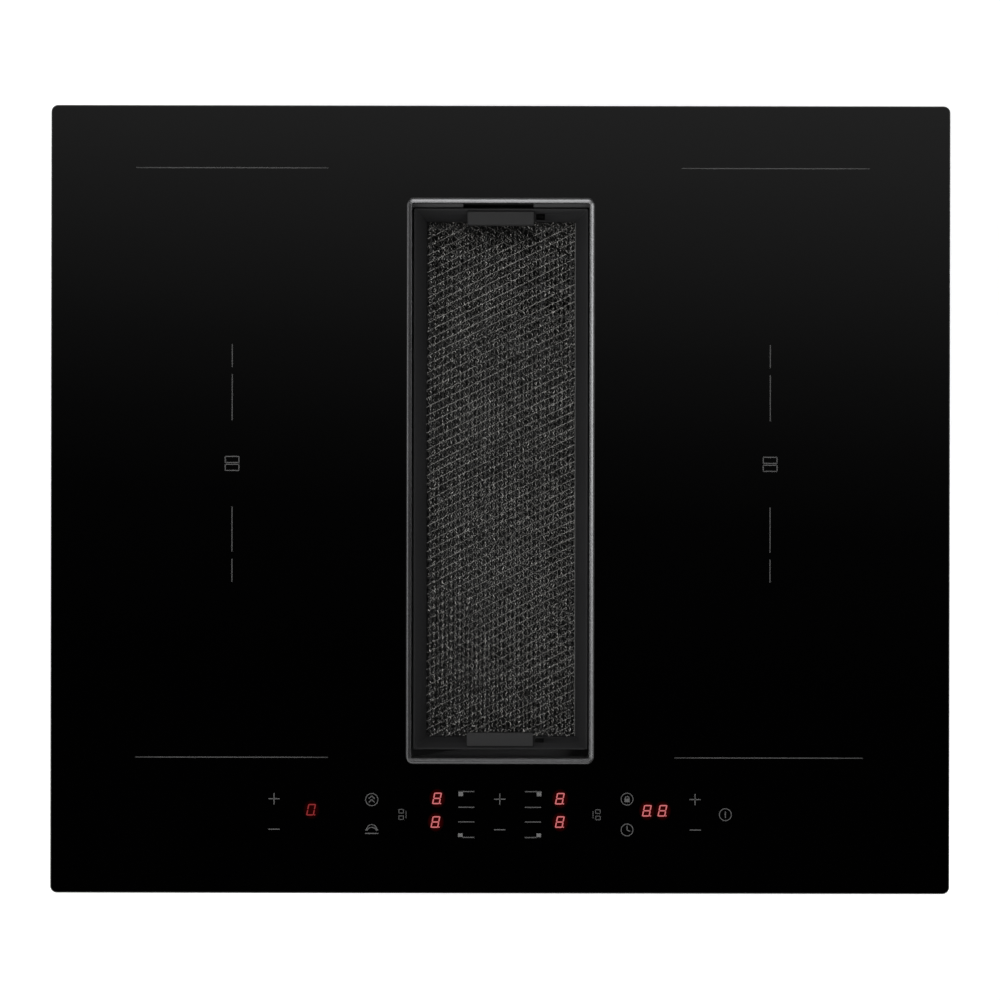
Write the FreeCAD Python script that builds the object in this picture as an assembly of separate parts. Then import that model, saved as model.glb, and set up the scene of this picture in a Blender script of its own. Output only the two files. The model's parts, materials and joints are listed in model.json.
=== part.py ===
import FreeCAD, Part
import math
import os

# Built-in induction cooktop with a downdraft extractor in its middle. Millimetres, +Z up, +X to the right of
# the cook, +Y to the back. The origin is the centre of the glass outline, on the worktop plane (z = 0), which
# is the underside of the rim seal.

Vector = FreeCAD.Vector

# Glass top
glass_width = 590.0
glass_depth = 517.0
glass_thickness = 4.0
glass_corner_radius = 4.5
glass_edge_chamfer = 0.6

# Rim seal, worktop cut-out and the clamps below the worktop
seal_thickness = 2.0
seal_width = 7.0
seal_inset = 3.0
rim_side_overlap = 15.0
rim_end_overlap = 13.5
cutout_clearance = 2.0
worktop_thickness = 40.0
clamp_sheet = 2.0
clamp_width = 22.0
clamp_root_length = 30.0
clamp_web_gap = 3.0
clamp_foot_length = 9.0
clamp_side_distance = 150.0

# Sheet steel casing
casing_sheet = 0.8
casing_drop = 54.0
casing_corner_radius = 6.0
casing_flange = 12.0
casing_collar_height = 8.0
adhesive_thickness = 1.0
adhesive_inset = 2.0
rear_slot_width = 3.0
rear_slot_height = 24.0
rear_slot_pitch = 9.0
rear_slot_count = 14
board_support_height = 5.0
board_support_radius = 4.0
board_support_inset = 10.0

# Extraction slot in the glass, and its raised trim
slot_front_margin = 84.5
slot_back_margin = 60.0
trim_width = 123.6
trim_lip_width = 4.0
trim_lip_height = 4.0
trim_lip_round = 1.6
trim_corner_radius = 4.2
trim_inner_corner_radius = 1.2
trim_collar_wall = 1.7
trim_collar_drop = 8.0
trim_glass_clearance = 0.5
trim_seal_thickness = 0.5

# Filter cassette
cassette_side_gap = 0.8
cassette_front_gap = 6.0
cassette_rear_gap = 3.5
cassette_wall = 1.6
cassette_rim_drop = 1.0
cassette_rim_height = 2.5
cassette_slope_run = 7.3
cassette_slope_drop = 16.0
mesh_thickness = 6.0
mesh_clearance = 0.2
grid_thickness = 1.5
grid_bar = 2.4
grid_columns = 5
grid_rows = 17
basket_lip_width = 3.0
basket_lip_thickness = 1.5
handle_width = 44.0
handle_reach = 11.0
handle_thickness = 3.2
handle_drop = 1.0
handle_edge_round = 1.0

# Intake duct below the glass
duct_wall = 2.0
duct_collar_clearance = 0.4
duct_flange_width = 8.0
duct_flange_thickness = 3.0
ledge_thickness = 2.5
ledge_overlap = 2.6
duct_plug_depth = 8.0
duct_plug_clearance = 0.3
duct_hole_clearance = 1.0

# Induction coils, their formers, ferrite bars, sensors, mica sheets and trays
zone_front_gap = 15.5
zone_back_gap = 13.5
mica_thickness = 1.0
mica_margin = 3.0
coil_wire_radius = 2.2
coil_turn_gap = 0.6
coil_inner_radius = 24.0
coil_seat_gap = 0.2
coil_rim = 2.0
former_thickness = 3.0
former_gap = 4.0
former_hole_radius = 3.0
ferrite_count = 8
ferrite_width = 12.0
ferrite_thickness = 4.0
ferrite_inner_radius = 20.0
ferrite_rim = 5.0
sensor_radius = 6.0
tray_sheet = 1.5
tray_side_gap = 1.5
tray_end_margin = 2.0
tray_wire_hole_radius = 10.0

# Power boards below the coil trays
board_thickness = 1.6
board_side_gap = 14.0
board_back_gap = 22.0
board_fan_gap = 6.0
sink_width = 50.0
sink_length = 120.0
sink_base = 4.0
sink_fin = 2.0
sink_fin_count = 9
sink_tray_gap = 4.0
sink_board_inset = 12.0
capacitor_width = 18.0
capacitor_length = 32.0
capacitor_height = 24.0
capacitor_gap = 10.0
capacitor_count = 3
choke_radius = 14.0
choke_hole_radius = 6.0
choke_height = 18.0

# Cooling fans of the power boards
cool_fan_side = 80.0
cool_fan_height = 15.0
cool_fan_corner_radius = 5.0
cool_fan_bore_radius = 37.0
cool_fan_blade_gap = 1.5
cool_fan_hub_radius = 15.0
cool_fan_hub_gap = 0.6
cool_fan_pin_radius = 1.5
cool_fan_pin_clearance = 0.05
cool_fan_plate = 2.0
cool_fan_strut_width = 4.0
cool_fan_strut_count = 3
cool_fan_blade_count = 7
cool_fan_blade_thickness = 1.2
cool_fan_blade_pitch_angle = 38.0
cool_fan_grille_slot = 5.0
cool_fan_grille_bar = 4.0

# Touch controls under the front of the glass
control_inset = 51.5
control_board_width = 330.0
control_board_depth = 44.0
display_height = 7.6
display_glass_gap = 0.4
digit_width = 12.0
digit_depth = 17.0
touch_pad_radius = 4.0
carrier_thickness = 3.0
carrier_margin = 3.0
carrier_leg_radius = 5.0
carrier_leg_inset = 9.0
# Places of the touch pads and digit modules, as shares of half the board's width and half its depth
touch_pad_place_shares = (
    (-0.90, 0.45), (-0.90, -0.45), (-0.51, 0.45), (-0.51, -0.45), (-0.395, 0.0),
    (-0.135, 0.45), (-0.135, -0.45), (0.0, 0.45), (0.0, -0.45), (0.135, 0.45), (0.135, -0.45),
    (0.385, 0.0), (0.51, 0.45), (0.51, -0.45), (0.78, 0.45), (0.78, -0.45), (0.90, 0.0),
)
digit_place_shares = (
    (-0.75, 0.0), (-0.25, 0.42), (-0.25, -0.42), (0.25, 0.42), (0.25, -0.42), (0.59, 0.0), (0.668, 0.0),
)

# Extractor housing below the casing: plenum cover, scroll plate, scroll and outlet spigot
plenum_side_inset = 8.0
plenum_margin = 10.0
plenum_inlet_margin = 25.0
plenum_height = 50.0
plenum_wall = 2.5
plenum_corner_radius = 12.0
scroll_plate_thickness = 3.0
scroll_wall = 2.5
scroll_radius = 90.0
scroll_growth = 10.0
scroll_height = 89.0
scroll_floor = 3.0
scroll_flange = 8.0
scroll_rib_height = 4.0
scroll_rib_width = 3.0
scroll_rib_count = 12
fan_centre_y = 0.0
inlet_radius = 60.0
inlet_lip_height = 6.0
inlet_lip_wall = 2.5
spigot_width = 222.0
spigot_height = 89.0
spigot_wall = 2.5
spigot_length = 38.0
spigot_clearance = 0.3
spigot_stop_width = 4.0
spigot_stop_thickness = 3.0
spigot_stop_place = 12.0

# Extractor motor and impeller
impeller_radius = 82.0
impeller_inner_radius = 64.0
impeller_plate = 2.0
impeller_end_gap = 5.0
impeller_blade_count = 36
impeller_blade_thickness = 1.3
impeller_blade_lean_angle = 12.0
impeller_blade_bow_share = 0.25
impeller_hub_wall = 2.0
impeller_hub_gap = 0.3
motor_height = 44.0
motor_radius = 35.0
motor_cup_wall = 3.0
motor_air_gap = 1.0
motor_foot_radius = 45.0
motor_foot_thickness = 3.0
motor_tube_wall = 3.0
motor_core_height = 24.0
motor_slot_count = 9
motor_slot_width = 5.0
motor_slot_depth = 12.0
motor_slot_wall = 2.0
shaft_radius = 4.0
shaft_clearance = 0.05
shaft_end_gap = 1.0
shaft_over_hub = 6.0
bearing_radius = 11.0
bearing_width = 7.0
bearing_seat_clearance = 0.02

# Overflow tray under the plenum
overflow_gap = 4.0
overflow_length = 260.0
overflow_depth = 44.0
overflow_wall = 2.0
overflow_corner_radius = 6.0
overflow_rim_width = 3.0
overflow_rim_thickness = 2.5
overflow_collar_depth = 10.0
overflow_collar_wall = 2.0
overflow_collar_clearance = 0.3
drain_flange_width = 3.0
drain_flange_thickness = 1.5
drain_fit_clearance = 0.1
overflow_grip_width = 60.0
overflow_grip_depth = 8.0
overflow_grip_height = 10.0

# Electrical boxes under the casing
box_wall = 2.0
box_corner_radius = 4.0
box_lid_thickness = 2.0
box_plenum_gap = 22.0
fan_box_width = 120.0
fan_box_depth = 140.0
fan_box_height = 28.0
fan_box_centre_y = -10.0
terminal_box_width = 74.0
terminal_box_depth = 66.0
terminal_box_height = 32.0
terminal_box_inset = 14.0
terminal_pole_count = 5
terminal_pole_width = 10.0
terminal_pole_depth = 24.0
terminal_pole_height = 14.0
terminal_well_radius = 3.0
terminal_well_depth = 6.0
gland_bore_radius = 5.5
gland_radius = 8.0
gland_head_radius = 11.0
gland_head_length = 9.0
gland_tail_length = 4.0

# Screws
screw_radius = 1.9
screw_hole_clearance = 0.1
screw_head_radius = 3.8
screw_head_height = 2.4
screw_grip = 3.0
lug_radius = 7.0
lug_stand = 4.5
lug_height = 6.0

# One overrun serves all cuts
overrun = 5.0

# Heights of the stack, from the worktop plane
glass_bottom = seal_thickness
glass_face = glass_bottom + glass_thickness
casing_top = glass_bottom - adhesive_thickness
casing_bottom = -casing_drop
casing_floor = casing_bottom + casing_sheet
cassette_rim = glass_face - cassette_rim_drop
mesh_top = cassette_rim - cassette_rim_height - cassette_slope_drop
mesh_bottom = mesh_top - mesh_thickness
grid_bottom = mesh_bottom - grid_thickness
basket_bottom = grid_bottom - basket_lip_thickness
duct_bottom = casing_bottom - duct_plug_depth
mica_bottom = glass_bottom - mica_thickness
coil_plane = mica_bottom - coil_seat_gap - coil_wire_radius
former_top = coil_plane - coil_wire_radius - coil_seat_gap
former_bottom = former_top - former_thickness
tray_top = former_bottom - ferrite_thickness
tray_bottom = tray_top - tray_sheet
board_bottom = casing_floor + board_support_height
board_top = board_bottom + board_thickness
control_board_top = glass_bottom - display_glass_gap - display_height
control_board_bottom = control_board_top - board_thickness
plenum_bottom = casing_bottom - plenum_height
scroll_top = plenum_bottom - scroll_plate_thickness
scroll_floor_top = scroll_top - scroll_height
scroll_bottom = scroll_floor_top - scroll_floor

# Widths and depths that pieces share
casing_width = glass_width - 2 * (rim_side_overlap + cutout_clearance)
casing_depth = glass_depth - 2 * (rim_end_overlap + cutout_clearance)
trim_depth = glass_depth - slot_front_margin - slot_back_margin
slot_centre = (0, (slot_front_margin - slot_back_margin) / 2)
opening_width = trim_width - 2 * trim_lip_width
opening_depth = trim_depth - 2 * trim_lip_width
collar_width = opening_width + 2 * trim_collar_wall
collar_depth = opening_depth + 2 * trim_collar_wall
cassette_width = opening_width - 2 * cassette_side_gap
cassette_depth = opening_depth - cassette_front_gap - cassette_rear_gap
cassette_centre = (0, slot_centre[1] + (cassette_front_gap - cassette_rear_gap) / 2)
mesh_width = cassette_width - 2 * (cassette_wall + cassette_slope_run)
mesh_depth = cassette_depth - 2 * (cassette_wall + cassette_slope_run)
basket_width = mesh_width + 2 * cassette_wall
basket_depth = mesh_depth + 2 * cassette_wall
well_width = collar_width + 2 * duct_collar_clearance
well_depth = collar_depth + 2 * duct_collar_clearance
well_outer_width = well_width + 2 * duct_wall
well_outer_depth = well_depth + 2 * duct_wall
chamber_width = basket_width - 2 * ledge_overlap
chamber_depth = basket_depth - 2 * ledge_overlap
chamber_outer_width = chamber_width + 2 * duct_wall
chamber_outer_depth = chamber_depth + 2 * duct_wall

# Induction zones: the space between the duct's flange, the casing and the controls
control_centre_y = -(glass_depth / 2 - control_inset)
zone_front = control_centre_y + control_board_depth / 2 + zone_front_gap
zone_back = casing_depth / 2 - casing_flange - zone_back_gap
zone_length = zone_back - zone_front
zone_inner_x = well_outer_width / 2 + duct_flange_width + tray_side_gap
zone_outer_x = casing_width / 2 - casing_sheet - tray_side_gap
coil_centre_x = (zone_inner_x + zone_outer_x) / 2
coil_centre_ys = (zone_front + zone_length / 4, zone_back - zone_length / 4)
former_radius = min(zone_length / 2 - former_gap, zone_outer_x - zone_inner_x - former_gap) / 2
coil_pitch = 2 * coil_wire_radius + coil_turn_gap
coil_turns = int((former_radius - coil_rim - coil_wire_radius - coil_inner_radius) / coil_pitch)

# Board compartment under each coil tray: the cooling fan in front, the power board behind it
cool_fan_y = zone_front + cool_fan_side / 2
board_front = cool_fan_y + cool_fan_side / 2 + board_fan_gap
board_back = casing_depth / 2 - casing_sheet - board_back_gap
board_inner_x = zone_inner_x + tray_sheet + board_side_gap
board_outer_x = zone_outer_x - tray_sheet - board_side_gap
sink_centre_x = board_inner_x + sink_board_inset + sink_width / 2
sink_front = board_front + sink_board_inset

# Extractor plan: plenum footprint, scroll centre and outlet
plenum_left = -(casing_width / 2 - plenum_side_inset)
plenum_right = chamber_outer_width / 2 + plenum_margin
plenum_front = cassette_centre[1] - chamber_outer_depth / 2 - plenum_margin
plenum_back = cassette_centre[1] + chamber_outer_depth / 2 + plenum_margin
plenum_wing_front = fan_centre_y - inlet_radius - plenum_inlet_margin
fan_centre_x = plenum_left + scroll_flange + scroll_wall + scroll_radius + 3 * scroll_growth
fan_centre = (fan_centre_x, fan_centre_y)
outlet_plane = casing_depth / 2 - spigot_length
outlet_left = fan_centre_x - scroll_radius - 3 * scroll_growth
outlet_right = outlet_left + spigot_width - 2 * spigot_wall
overflow_left = fan_centre_x + scroll_radius + scroll_wall + scroll_flange + overflow_gap
overflow_right = plenum_right - overflow_rim_width
overflow_width = overflow_right - overflow_left - 2 * overflow_rim_width
overflow_centre = ((overflow_left + overflow_right) / 2, cassette_centre[1])
overflow_top = scroll_top - overflow_collar_clearance
overflow_floor = overflow_top - overflow_depth + overflow_wall

# Boxes under the right side of the casing
fan_box_centre = (plenum_right + box_plenum_gap + fan_box_width / 2, fan_box_centre_y)
terminal_box_centre = (casing_width / 2 - terminal_box_inset - terminal_box_width / 2,
                       casing_depth / 2 - terminal_box_inset - terminal_box_depth / 2)


# Plain shapes

def rounded_outline(width, depth, radius, z, centre=(0, 0)):
    """Closed wire of a rectangle with rounded corners, at height z."""
    half_x, half_y = width / 2, depth / 2
    lean = radius * (1 - math.sqrt(0.5))
    corners = ((1, 1), (-1, 1), (-1, -1), (1, -1))
    edges, ends = [], []
    for index, (sx, sy) in enumerate(corners):
        on_side = Vector(centre[0] + sx * half_x, centre[1] + sy * (half_y - radius), z)
        on_end = Vector(centre[0] + sx * (half_x - radius), centre[1] + sy * half_y, z)
        middle = Vector(centre[0] + sx * (half_x - lean), centre[1] + sy * (half_y - lean), z)
        first, last = (on_side, on_end) if index % 2 == 0 else (on_end, on_side)
        if radius > 0:
            edges.append(Part.Arc(first, middle, last).toShape())
        ends.append((first, last))
    for index, (first, last) in enumerate(ends):
        following = ends[(index + 1) % len(ends)][0]
        edges.append(Part.LineSegment(last, following).toShape())
    return Part.Wire(Part.__sortEdges__(edges))


def slab(width, depth, bottom, top, centre=(0, 0), radius=0):
    """Upright block with rounded corners in plan."""
    face = Part.Face(rounded_outline(width, depth, radius, bottom, centre))
    return face.extrude(Vector(0, 0, top - bottom))


def block(left, right, front, back, bottom, top):
    return Part.makeBox(right - left, back - front, top - bottom, Vector(left, front, bottom))


def rim(outer, inner, bottom, top, centre=(0, 0), radius=0, inner_radius=0):
    """Rectangular ring; outer and inner are (width, depth)."""
    body = slab(outer[0], outer[1], bottom, top, centre, radius)
    return body.cut(slab(inner[0], inner[1], bottom - overrun, top + overrun, centre, inner_radius))


def post(radius, bottom, top, place):
    return Part.makeCylinder(radius, top - bottom, Vector(place[0], place[1], bottom))


def tube(radius, bore, bottom, top, place):
    return post(radius, bottom, top, place).cut(post(bore, bottom - overrun, top + overrun, place))


def funnel(top_size, bottom_size, top, bottom, centre):
    """Solid that tapers from one rectangle down to another."""
    upper = rounded_outline(top_size[0], top_size[1], 0, top, centre)
    lower = rounded_outline(bottom_size[0], bottom_size[1], 0, bottom, centre)
    return Part.makeLoft([lower, upper], True, True)


def fused(shapes):
    return shapes[0].multiFuse(shapes[1:]).removeSplitter()


def turned(shape, angle, place):
    copy = shape.copy()
    copy.rotate(Vector(place[0], place[1], 0), Vector(0, 0, 1), angle)
    return copy


def mirrored(shape):
    """The same piece on the other side of the cooktop's middle plane."""
    return shape.mirror(Vector(0, 0, 0), Vector(1, 0, 0))


def round_top_edges(shape, height, radius):
    """Rounds every edge that lies wholly at one height."""
    boxes = [(edge, edge.BoundBox) for edge in shape.Edges]
    level = [edge for edge, box in boxes if max(abs(box.ZMin - height), abs(box.ZMax - height)) < radius / 100]
    return shape.makeFillet(radius, level)


def ring_of(shape, count, place):
    """Copies of a shape, evenly spaced round an upright axis."""
    return [turned(shape, index * 360 / count, place) for index in range(count)]


def screw_holes(bottom, top, places):
    """Clearance holes for screws, right through from one height to another."""
    radius = screw_radius + screw_hole_clearance
    return [post(radius, bottom - overrun, top + overrun, place) for place in places]


# Glass, seals and trim

def make_glass_top():
    body = slab(glass_width, glass_depth, glass_bottom, glass_face, radius=glass_corner_radius)
    edges = [e for e in body.Edges if e.BoundBox.ZMin > glass_face - glass_edge_chamfer]
    body = body.makeChamfer(glass_edge_chamfer, edges)
    hole_width = collar_width + 2 * trim_glass_clearance
    hole_depth = collar_depth + 2 * trim_glass_clearance
    hole = slab(hole_width, hole_depth, glass_bottom - overrun, glass_face + overrun, slot_centre,
                trim_inner_corner_radius)
    return body.cut(hole)


def make_worktop_seal():
    outer = (glass_width - 2 * seal_inset, glass_depth - 2 * seal_inset)
    inner = (outer[0] - 2 * seal_width, outer[1] - 2 * seal_width)
    return rim(outer, inner, 0, seal_thickness, radius=glass_corner_radius, inner_radius=glass_corner_radius)


def make_glass_adhesive():
    outer = (casing_width - 2 * adhesive_inset, casing_depth - 2 * adhesive_inset)
    bead = casing_flange - 2 * adhesive_inset
    inner = (outer[0] - 2 * bead, outer[1] - 2 * bead)
    return rim(outer, inner, casing_top, glass_bottom, radius=casing_corner_radius)


def make_intake_trim():
    """Raised lip on the glass with a collar that passes down through the slot."""
    lip_bottom = glass_face + trim_seal_thickness
    lip_top = lip_bottom + trim_lip_height
    lip = slab(trim_width, trim_depth, lip_bottom, lip_top, slot_centre, trim_corner_radius)
    collar_bottom = glass_bottom - trim_collar_drop
    collar = slab(collar_width, collar_depth, collar_bottom, lip_top - trim_lip_round, slot_centre,
                  trim_inner_corner_radius)
    opening = slab(opening_width, opening_depth, collar_bottom - overrun, lip_top + overrun, slot_centre,
                   trim_inner_corner_radius)
    return round_top_edges(lip.fuse(collar).cut(opening).removeSplitter(), lip_top, trim_lip_round)


def make_trim_seal():
    outer = (trim_width - 2 * trim_seal_thickness, trim_depth - 2 * trim_seal_thickness)
    clear = 2 * trim_glass_clearance
    inner = (collar_width + clear, collar_depth + clear)
    return rim(outer, inner, glass_face, glass_face + trim_seal_thickness, slot_centre, trim_corner_radius,
               trim_inner_corner_radius)


# Filter cassette

def cassette_inside():
    """The hollow of the cassette, from above its rim down through the lip of its basket."""
    slope_top = cassette_rim - cassette_rim_height
    inner = (cassette_width - 2 * cassette_wall, cassette_depth - 2 * cassette_wall)
    window = (mesh_width - 2 * basket_lip_width, mesh_depth - 2 * basket_lip_width)
    return fused([
        slab(inner[0], inner[1], slope_top, cassette_rim + overrun, cassette_centre),
        funnel(inner, (mesh_width, mesh_depth), slope_top, mesh_top, cassette_centre),
        slab(mesh_width, mesh_depth, grid_bottom, mesh_top, cassette_centre),
        slab(window[0], window[1], basket_bottom - overrun, mesh_top, cassette_centre),
    ])


def make_filter_frame():
    """Moulded frame: upright rim, four sloped walls and a basket that holds the mesh on a lip."""
    slope_top = cassette_rim - cassette_rim_height
    outer = (cassette_width, cassette_depth)
    rim_band = slab(outer[0], outer[1], slope_top, cassette_rim, cassette_centre)
    slope = funnel(outer, (basket_width, basket_depth), slope_top, mesh_top, cassette_centre)
    basket = slab(basket_width, basket_depth, basket_bottom, mesh_top, cassette_centre)
    return fused([rim_band, slope, basket]).cut(cassette_inside())


def make_filter_mesh():
    width, depth = mesh_width - 2 * mesh_clearance, mesh_depth - 2 * mesh_clearance
    return slab(width, depth, mesh_bottom, mesh_top, cassette_centre)


def make_filter_grid():
    """Stamped plate under the mesh, with a row of windows between its bars."""
    width, depth = mesh_width - 2 * mesh_clearance, mesh_depth - 2 * mesh_clearance
    plate = slab(width, depth, grid_bottom, mesh_bottom, cassette_centre)
    step_x, step_y = (width - grid_bar) / grid_columns, (depth - grid_bar) / grid_rows
    windows = []
    for column in range(grid_columns):
        for row in range(grid_rows):
            left = cassette_centre[0] - width / 2 + grid_bar + column * step_x
            front = cassette_centre[1] - depth / 2 + grid_bar + row * step_y
            windows.append(block(left, left + step_x - grid_bar, front, front + step_y - grid_bar,
                                 grid_bottom - overrun, mesh_bottom + overrun))
    return plate.cut(windows)


def make_filter_handle(side):
    """Finger tab on the sloped wall at one end of the cassette. The side is 1 at the back, -1 in front."""
    top = cassette_rim - handle_drop
    end = cassette_centre[1] + side * cassette_depth / 2
    reach = end - side * handle_reach
    front, back = min(end, reach), max(end, reach)
    tab = block(cassette_centre[0] - handle_width / 2, cassette_centre[0] + handle_width / 2, front, back,
                top - handle_thickness, top)
    boxes = [(edge, edge.BoundBox) for edge in tab.Edges]
    free = [edge for edge, box in boxes if abs(box.YMin - reach) + abs(box.YMax - reach) < handle_edge_round]
    return tab.makeFillet(handle_edge_round, free).common(cassette_inside())


# Casing

def casing_screw_places():
    """Screws that go up into the casing floor: at the clamps, the plenum cover's lugs and the two boxes."""
    return clamp_screw_places() + plenum_lug_places() + box_screw_places()


def clamp_screw_places():
    x = casing_width / 2 - clamp_side_distance
    y = casing_depth / 2 - clamp_root_length / 2
    return [(sx * x, sy * y) for sx in (-1, 1) for sy in (-1, 1)]


def plenum_lug_places():
    """Lugs on the front and back walls of the plenum cover."""
    left, right = plenum_left + 2 * plenum_corner_radius, plenum_right - 2 * plenum_corner_radius
    middle = (left + right) / 2
    wing_front, front, back = plenum_wing_front - lug_stand, plenum_front - lug_stand, plenum_back + lug_stand
    places = [(left, wing_front), (middle, wing_front), (right, front)]
    return places + [(x, back) for x in (left, middle, right)]


def box_screw_places():
    """Lugs on the left and right walls of the two electrical boxes."""
    places = []
    for centre, width in ((fan_box_centre, fan_box_width), (terminal_box_centre, terminal_box_width)):
        reach = width / 2 + lug_stand
        places += [(centre[0] - reach, centre[1]), (centre[0] + reach, centre[1])]
    return places


def board_support_places():
    xs = (board_inner_x + board_support_inset, board_outer_x - board_support_inset)
    ys = (board_front + board_support_inset, board_back - board_support_inset)
    return [(sx * x, y) for sx in (-1, 1) for x in xs for y in ys]


def grille_slots(centre_x):
    """Air slots under one cooling fan, each as long as the fan's bore is wide there."""
    slots = []
    pitch = cool_fan_grille_slot + cool_fan_grille_bar
    reach = cool_fan_bore_radius - cool_fan_grille_bar
    count = int(reach / pitch)
    for step in range(-count, count + 1):
        y = step * pitch
        half = math.sqrt(reach ** 2 - y ** 2)
        slots.append(slab(2 * half, cool_fan_grille_slot, casing_bottom - overrun, casing_floor + overrun,
                          (centre_x, cool_fan_y + y), cool_fan_grille_slot / 3))
    return slots


def rear_slots():
    """Upright outlet slots for cooling air in the back wall, one row behind each coil tray."""
    slots = []
    middle = (casing_floor + tray_bottom) / 2
    for side in (-1, 1):
        for index in range(rear_slot_count):
            x = side * coil_centre_x + (index - (rear_slot_count - 1) / 2) * rear_slot_pitch
            slots.append(block(x - rear_slot_width / 2, x + rear_slot_width / 2, casing_depth / 2 - overrun,
                               casing_depth / 2 + overrun, middle - rear_slot_height / 2,
                               middle + rear_slot_height / 2))
    return slots


def make_hob_casing():
    """Deep-drawn tray with an inward flange on top, board supports, air slots and an upturned duct opening."""
    body = slab(casing_width, casing_depth, casing_bottom, casing_top, radius=casing_corner_radius)
    sheet = 2 * casing_sheet
    body = body.cut(slab(casing_width - sheet, casing_depth - sheet, casing_floor, casing_top - casing_sheet,
                         radius=casing_corner_radius - casing_sheet))
    flange = 2 * casing_flange
    body = body.cut(slab(casing_width - flange, casing_depth - flange, casing_floor, casing_top + overrun))
    supports = [post(board_support_radius, casing_floor - casing_sheet / 2, board_bottom, place)
                for place in board_support_places()]
    clear = 2 * duct_hole_clearance
    hole = (chamber_outer_width + clear, chamber_outer_depth + clear)
    collar_top = casing_floor + casing_collar_height
    collar = slab(hole[0] + sheet, hole[1] + sheet, casing_bottom, collar_top, cassette_centre)
    body = fused([body, collar] + supports)
    holes = [slab(hole[0], hole[1], casing_bottom - overrun, collar_top + overrun, cassette_centre)]
    holes += grille_slots(-coil_centre_x) + grille_slots(coil_centre_x) + rear_slots()
    return body.cut(holes + screw_holes(casing_bottom, casing_floor, casing_screw_places()))


def make_fixing_clamps():
    """Four Z-shaped brackets: root under the casing floor, web beside the cut-out, foot under the worktop."""
    foot_top = -worktop_thickness
    root_end = casing_depth / 2 - clamp_root_length
    web = casing_depth / 2 + clamp_web_gap
    foot_end = web + clamp_sheet + clamp_foot_length
    clamps = []
    for x, y in clamp_screw_places():
        left, right = x - clamp_width / 2, x + clamp_width / 2
        clamp = fused([
            block(left, right, root_end, web + clamp_sheet, casing_bottom - clamp_sheet, casing_bottom),
            block(left, right, web, web + clamp_sheet, casing_bottom - clamp_sheet, foot_top),
            block(left, right, web, foot_end, foot_top - clamp_sheet, foot_top),
        ])
        clamp = clamp.cut(screw_holes(casing_bottom - clamp_sheet, casing_bottom, [(x, abs(y))]))
        clamps.append(clamp if y > 0 else clamp.mirror(Vector(0, 0, 0), Vector(0, 1, 0)))
    return Part.makeCompound(clamps)


# Induction coils

def spiral_wire(centre):
    """Flat spiral of half-turn arcs about two centres half a pitch apart, and where each arc starts."""
    edges, starts = [], []
    step = coil_pitch / 2
    for half_turn in range(2 * coil_turns):
        radius = coil_inner_radius + half_turn * step
        side = 1 if half_turn % 2 == 0 else -1
        middle = Vector(centre[0] + (0 if side > 0 else step), centre[1], coil_plane)
        start, end = middle + Vector(side * radius, 0, 0), middle - Vector(side * radius, 0, 0)
        edges.append(Part.Arc(start, middle + Vector(0, side * radius, 0), end).toShape())
        starts.append(start)
    return Part.Wire(edges), starts


def make_coil(centre):
    """Flat winding of stranded copper wire, one unbroken tube."""
    path, starts = spiral_wire(centre)
    first = path.Edges[0]
    start = first.valueAt(first.FirstParameter)
    section = Part.Wire(Part.makeCircle(coil_wire_radius, start, first.tangentAt(first.FirstParameter)))
    winding = path.makePipeShell([section], True, False)
    gap = min(first.distanceToPoint(last) for first, last in zip(starts, starts[2:])) - 2 * coil_wire_radius
    expected = path.Length * math.pi * coil_wire_radius ** 2
    print(f"coil: {coil_turns} turns, least gap {gap:.2f} mm, volume share {winding.Volume / expected:.4f}")
    return winding


def make_coil_former(centre):
    disc = post(former_radius, former_bottom, former_top, centre)
    return disc.cut(post(former_hole_radius, former_bottom - overrun, former_top + overrun, centre))


def make_ferrite_bars(centre):
    bar = block(centre[0] + ferrite_inner_radius, centre[0] + former_radius - ferrite_rim,
                centre[1] - ferrite_width / 2, centre[1] + ferrite_width / 2, tray_top, former_bottom)
    return ring_of(bar, ferrite_count, centre)


def make_coil_sensors():
    places = [(sx * coil_centre_x, y) for sx in (-1, 1) for y in coil_centre_ys]
    top = mica_bottom - coil_seat_gap
    return Part.makeCompound([post(sensor_radius, former_top, top, place) for place in places])


def make_mica_sheet():
    """Right-hand insulating sheet between the coils and the glass, clear of the casing's flange."""
    outer = min(zone_outer_x, casing_width / 2 - casing_flange) - mica_margin
    return block(zone_inner_x + mica_margin, outer, zone_front, zone_back, mica_bottom, glass_bottom)


def make_coil_tray():
    """Right-hand folded tray: a deck under the coils on two side walls that stand on the casing floor."""
    front, back = zone_front - tray_end_margin, zone_back + tray_end_margin
    deck = block(zone_inner_x, zone_outer_x, front, back, tray_bottom, tray_top)
    inner_wall = block(zone_inner_x, zone_inner_x + tray_sheet, front, back, casing_floor, tray_bottom)
    outer_wall = block(zone_outer_x - tray_sheet, zone_outer_x, front, back, casing_floor, tray_bottom)
    holes = [post(tray_wire_hole_radius, tray_bottom - overrun, tray_top + overrun, (coil_centre_x, y))
             for y in coil_centre_ys]
    return fused([deck, inner_wall, outer_wall]).cut(holes)


# Power boards and their cooling

def make_power_board():
    return block(board_inner_x, board_outer_x, board_front, board_back, board_bottom, board_top)


def make_heat_sink():
    left, right = sink_centre_x - sink_width / 2, sink_centre_x + sink_width / 2
    back = sink_front + sink_length
    pieces = [block(left, right, sink_front, back, board_top, board_top + sink_base)]
    fin_top = tray_bottom - sink_tray_gap
    step = (sink_width - sink_fin) / (sink_fin_count - 1)
    for index in range(sink_fin_count):
        x = left + index * step
        pieces.append(block(x, x + sink_fin, sink_front, back, board_top, fin_top))
    return fused(pieces)


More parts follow.
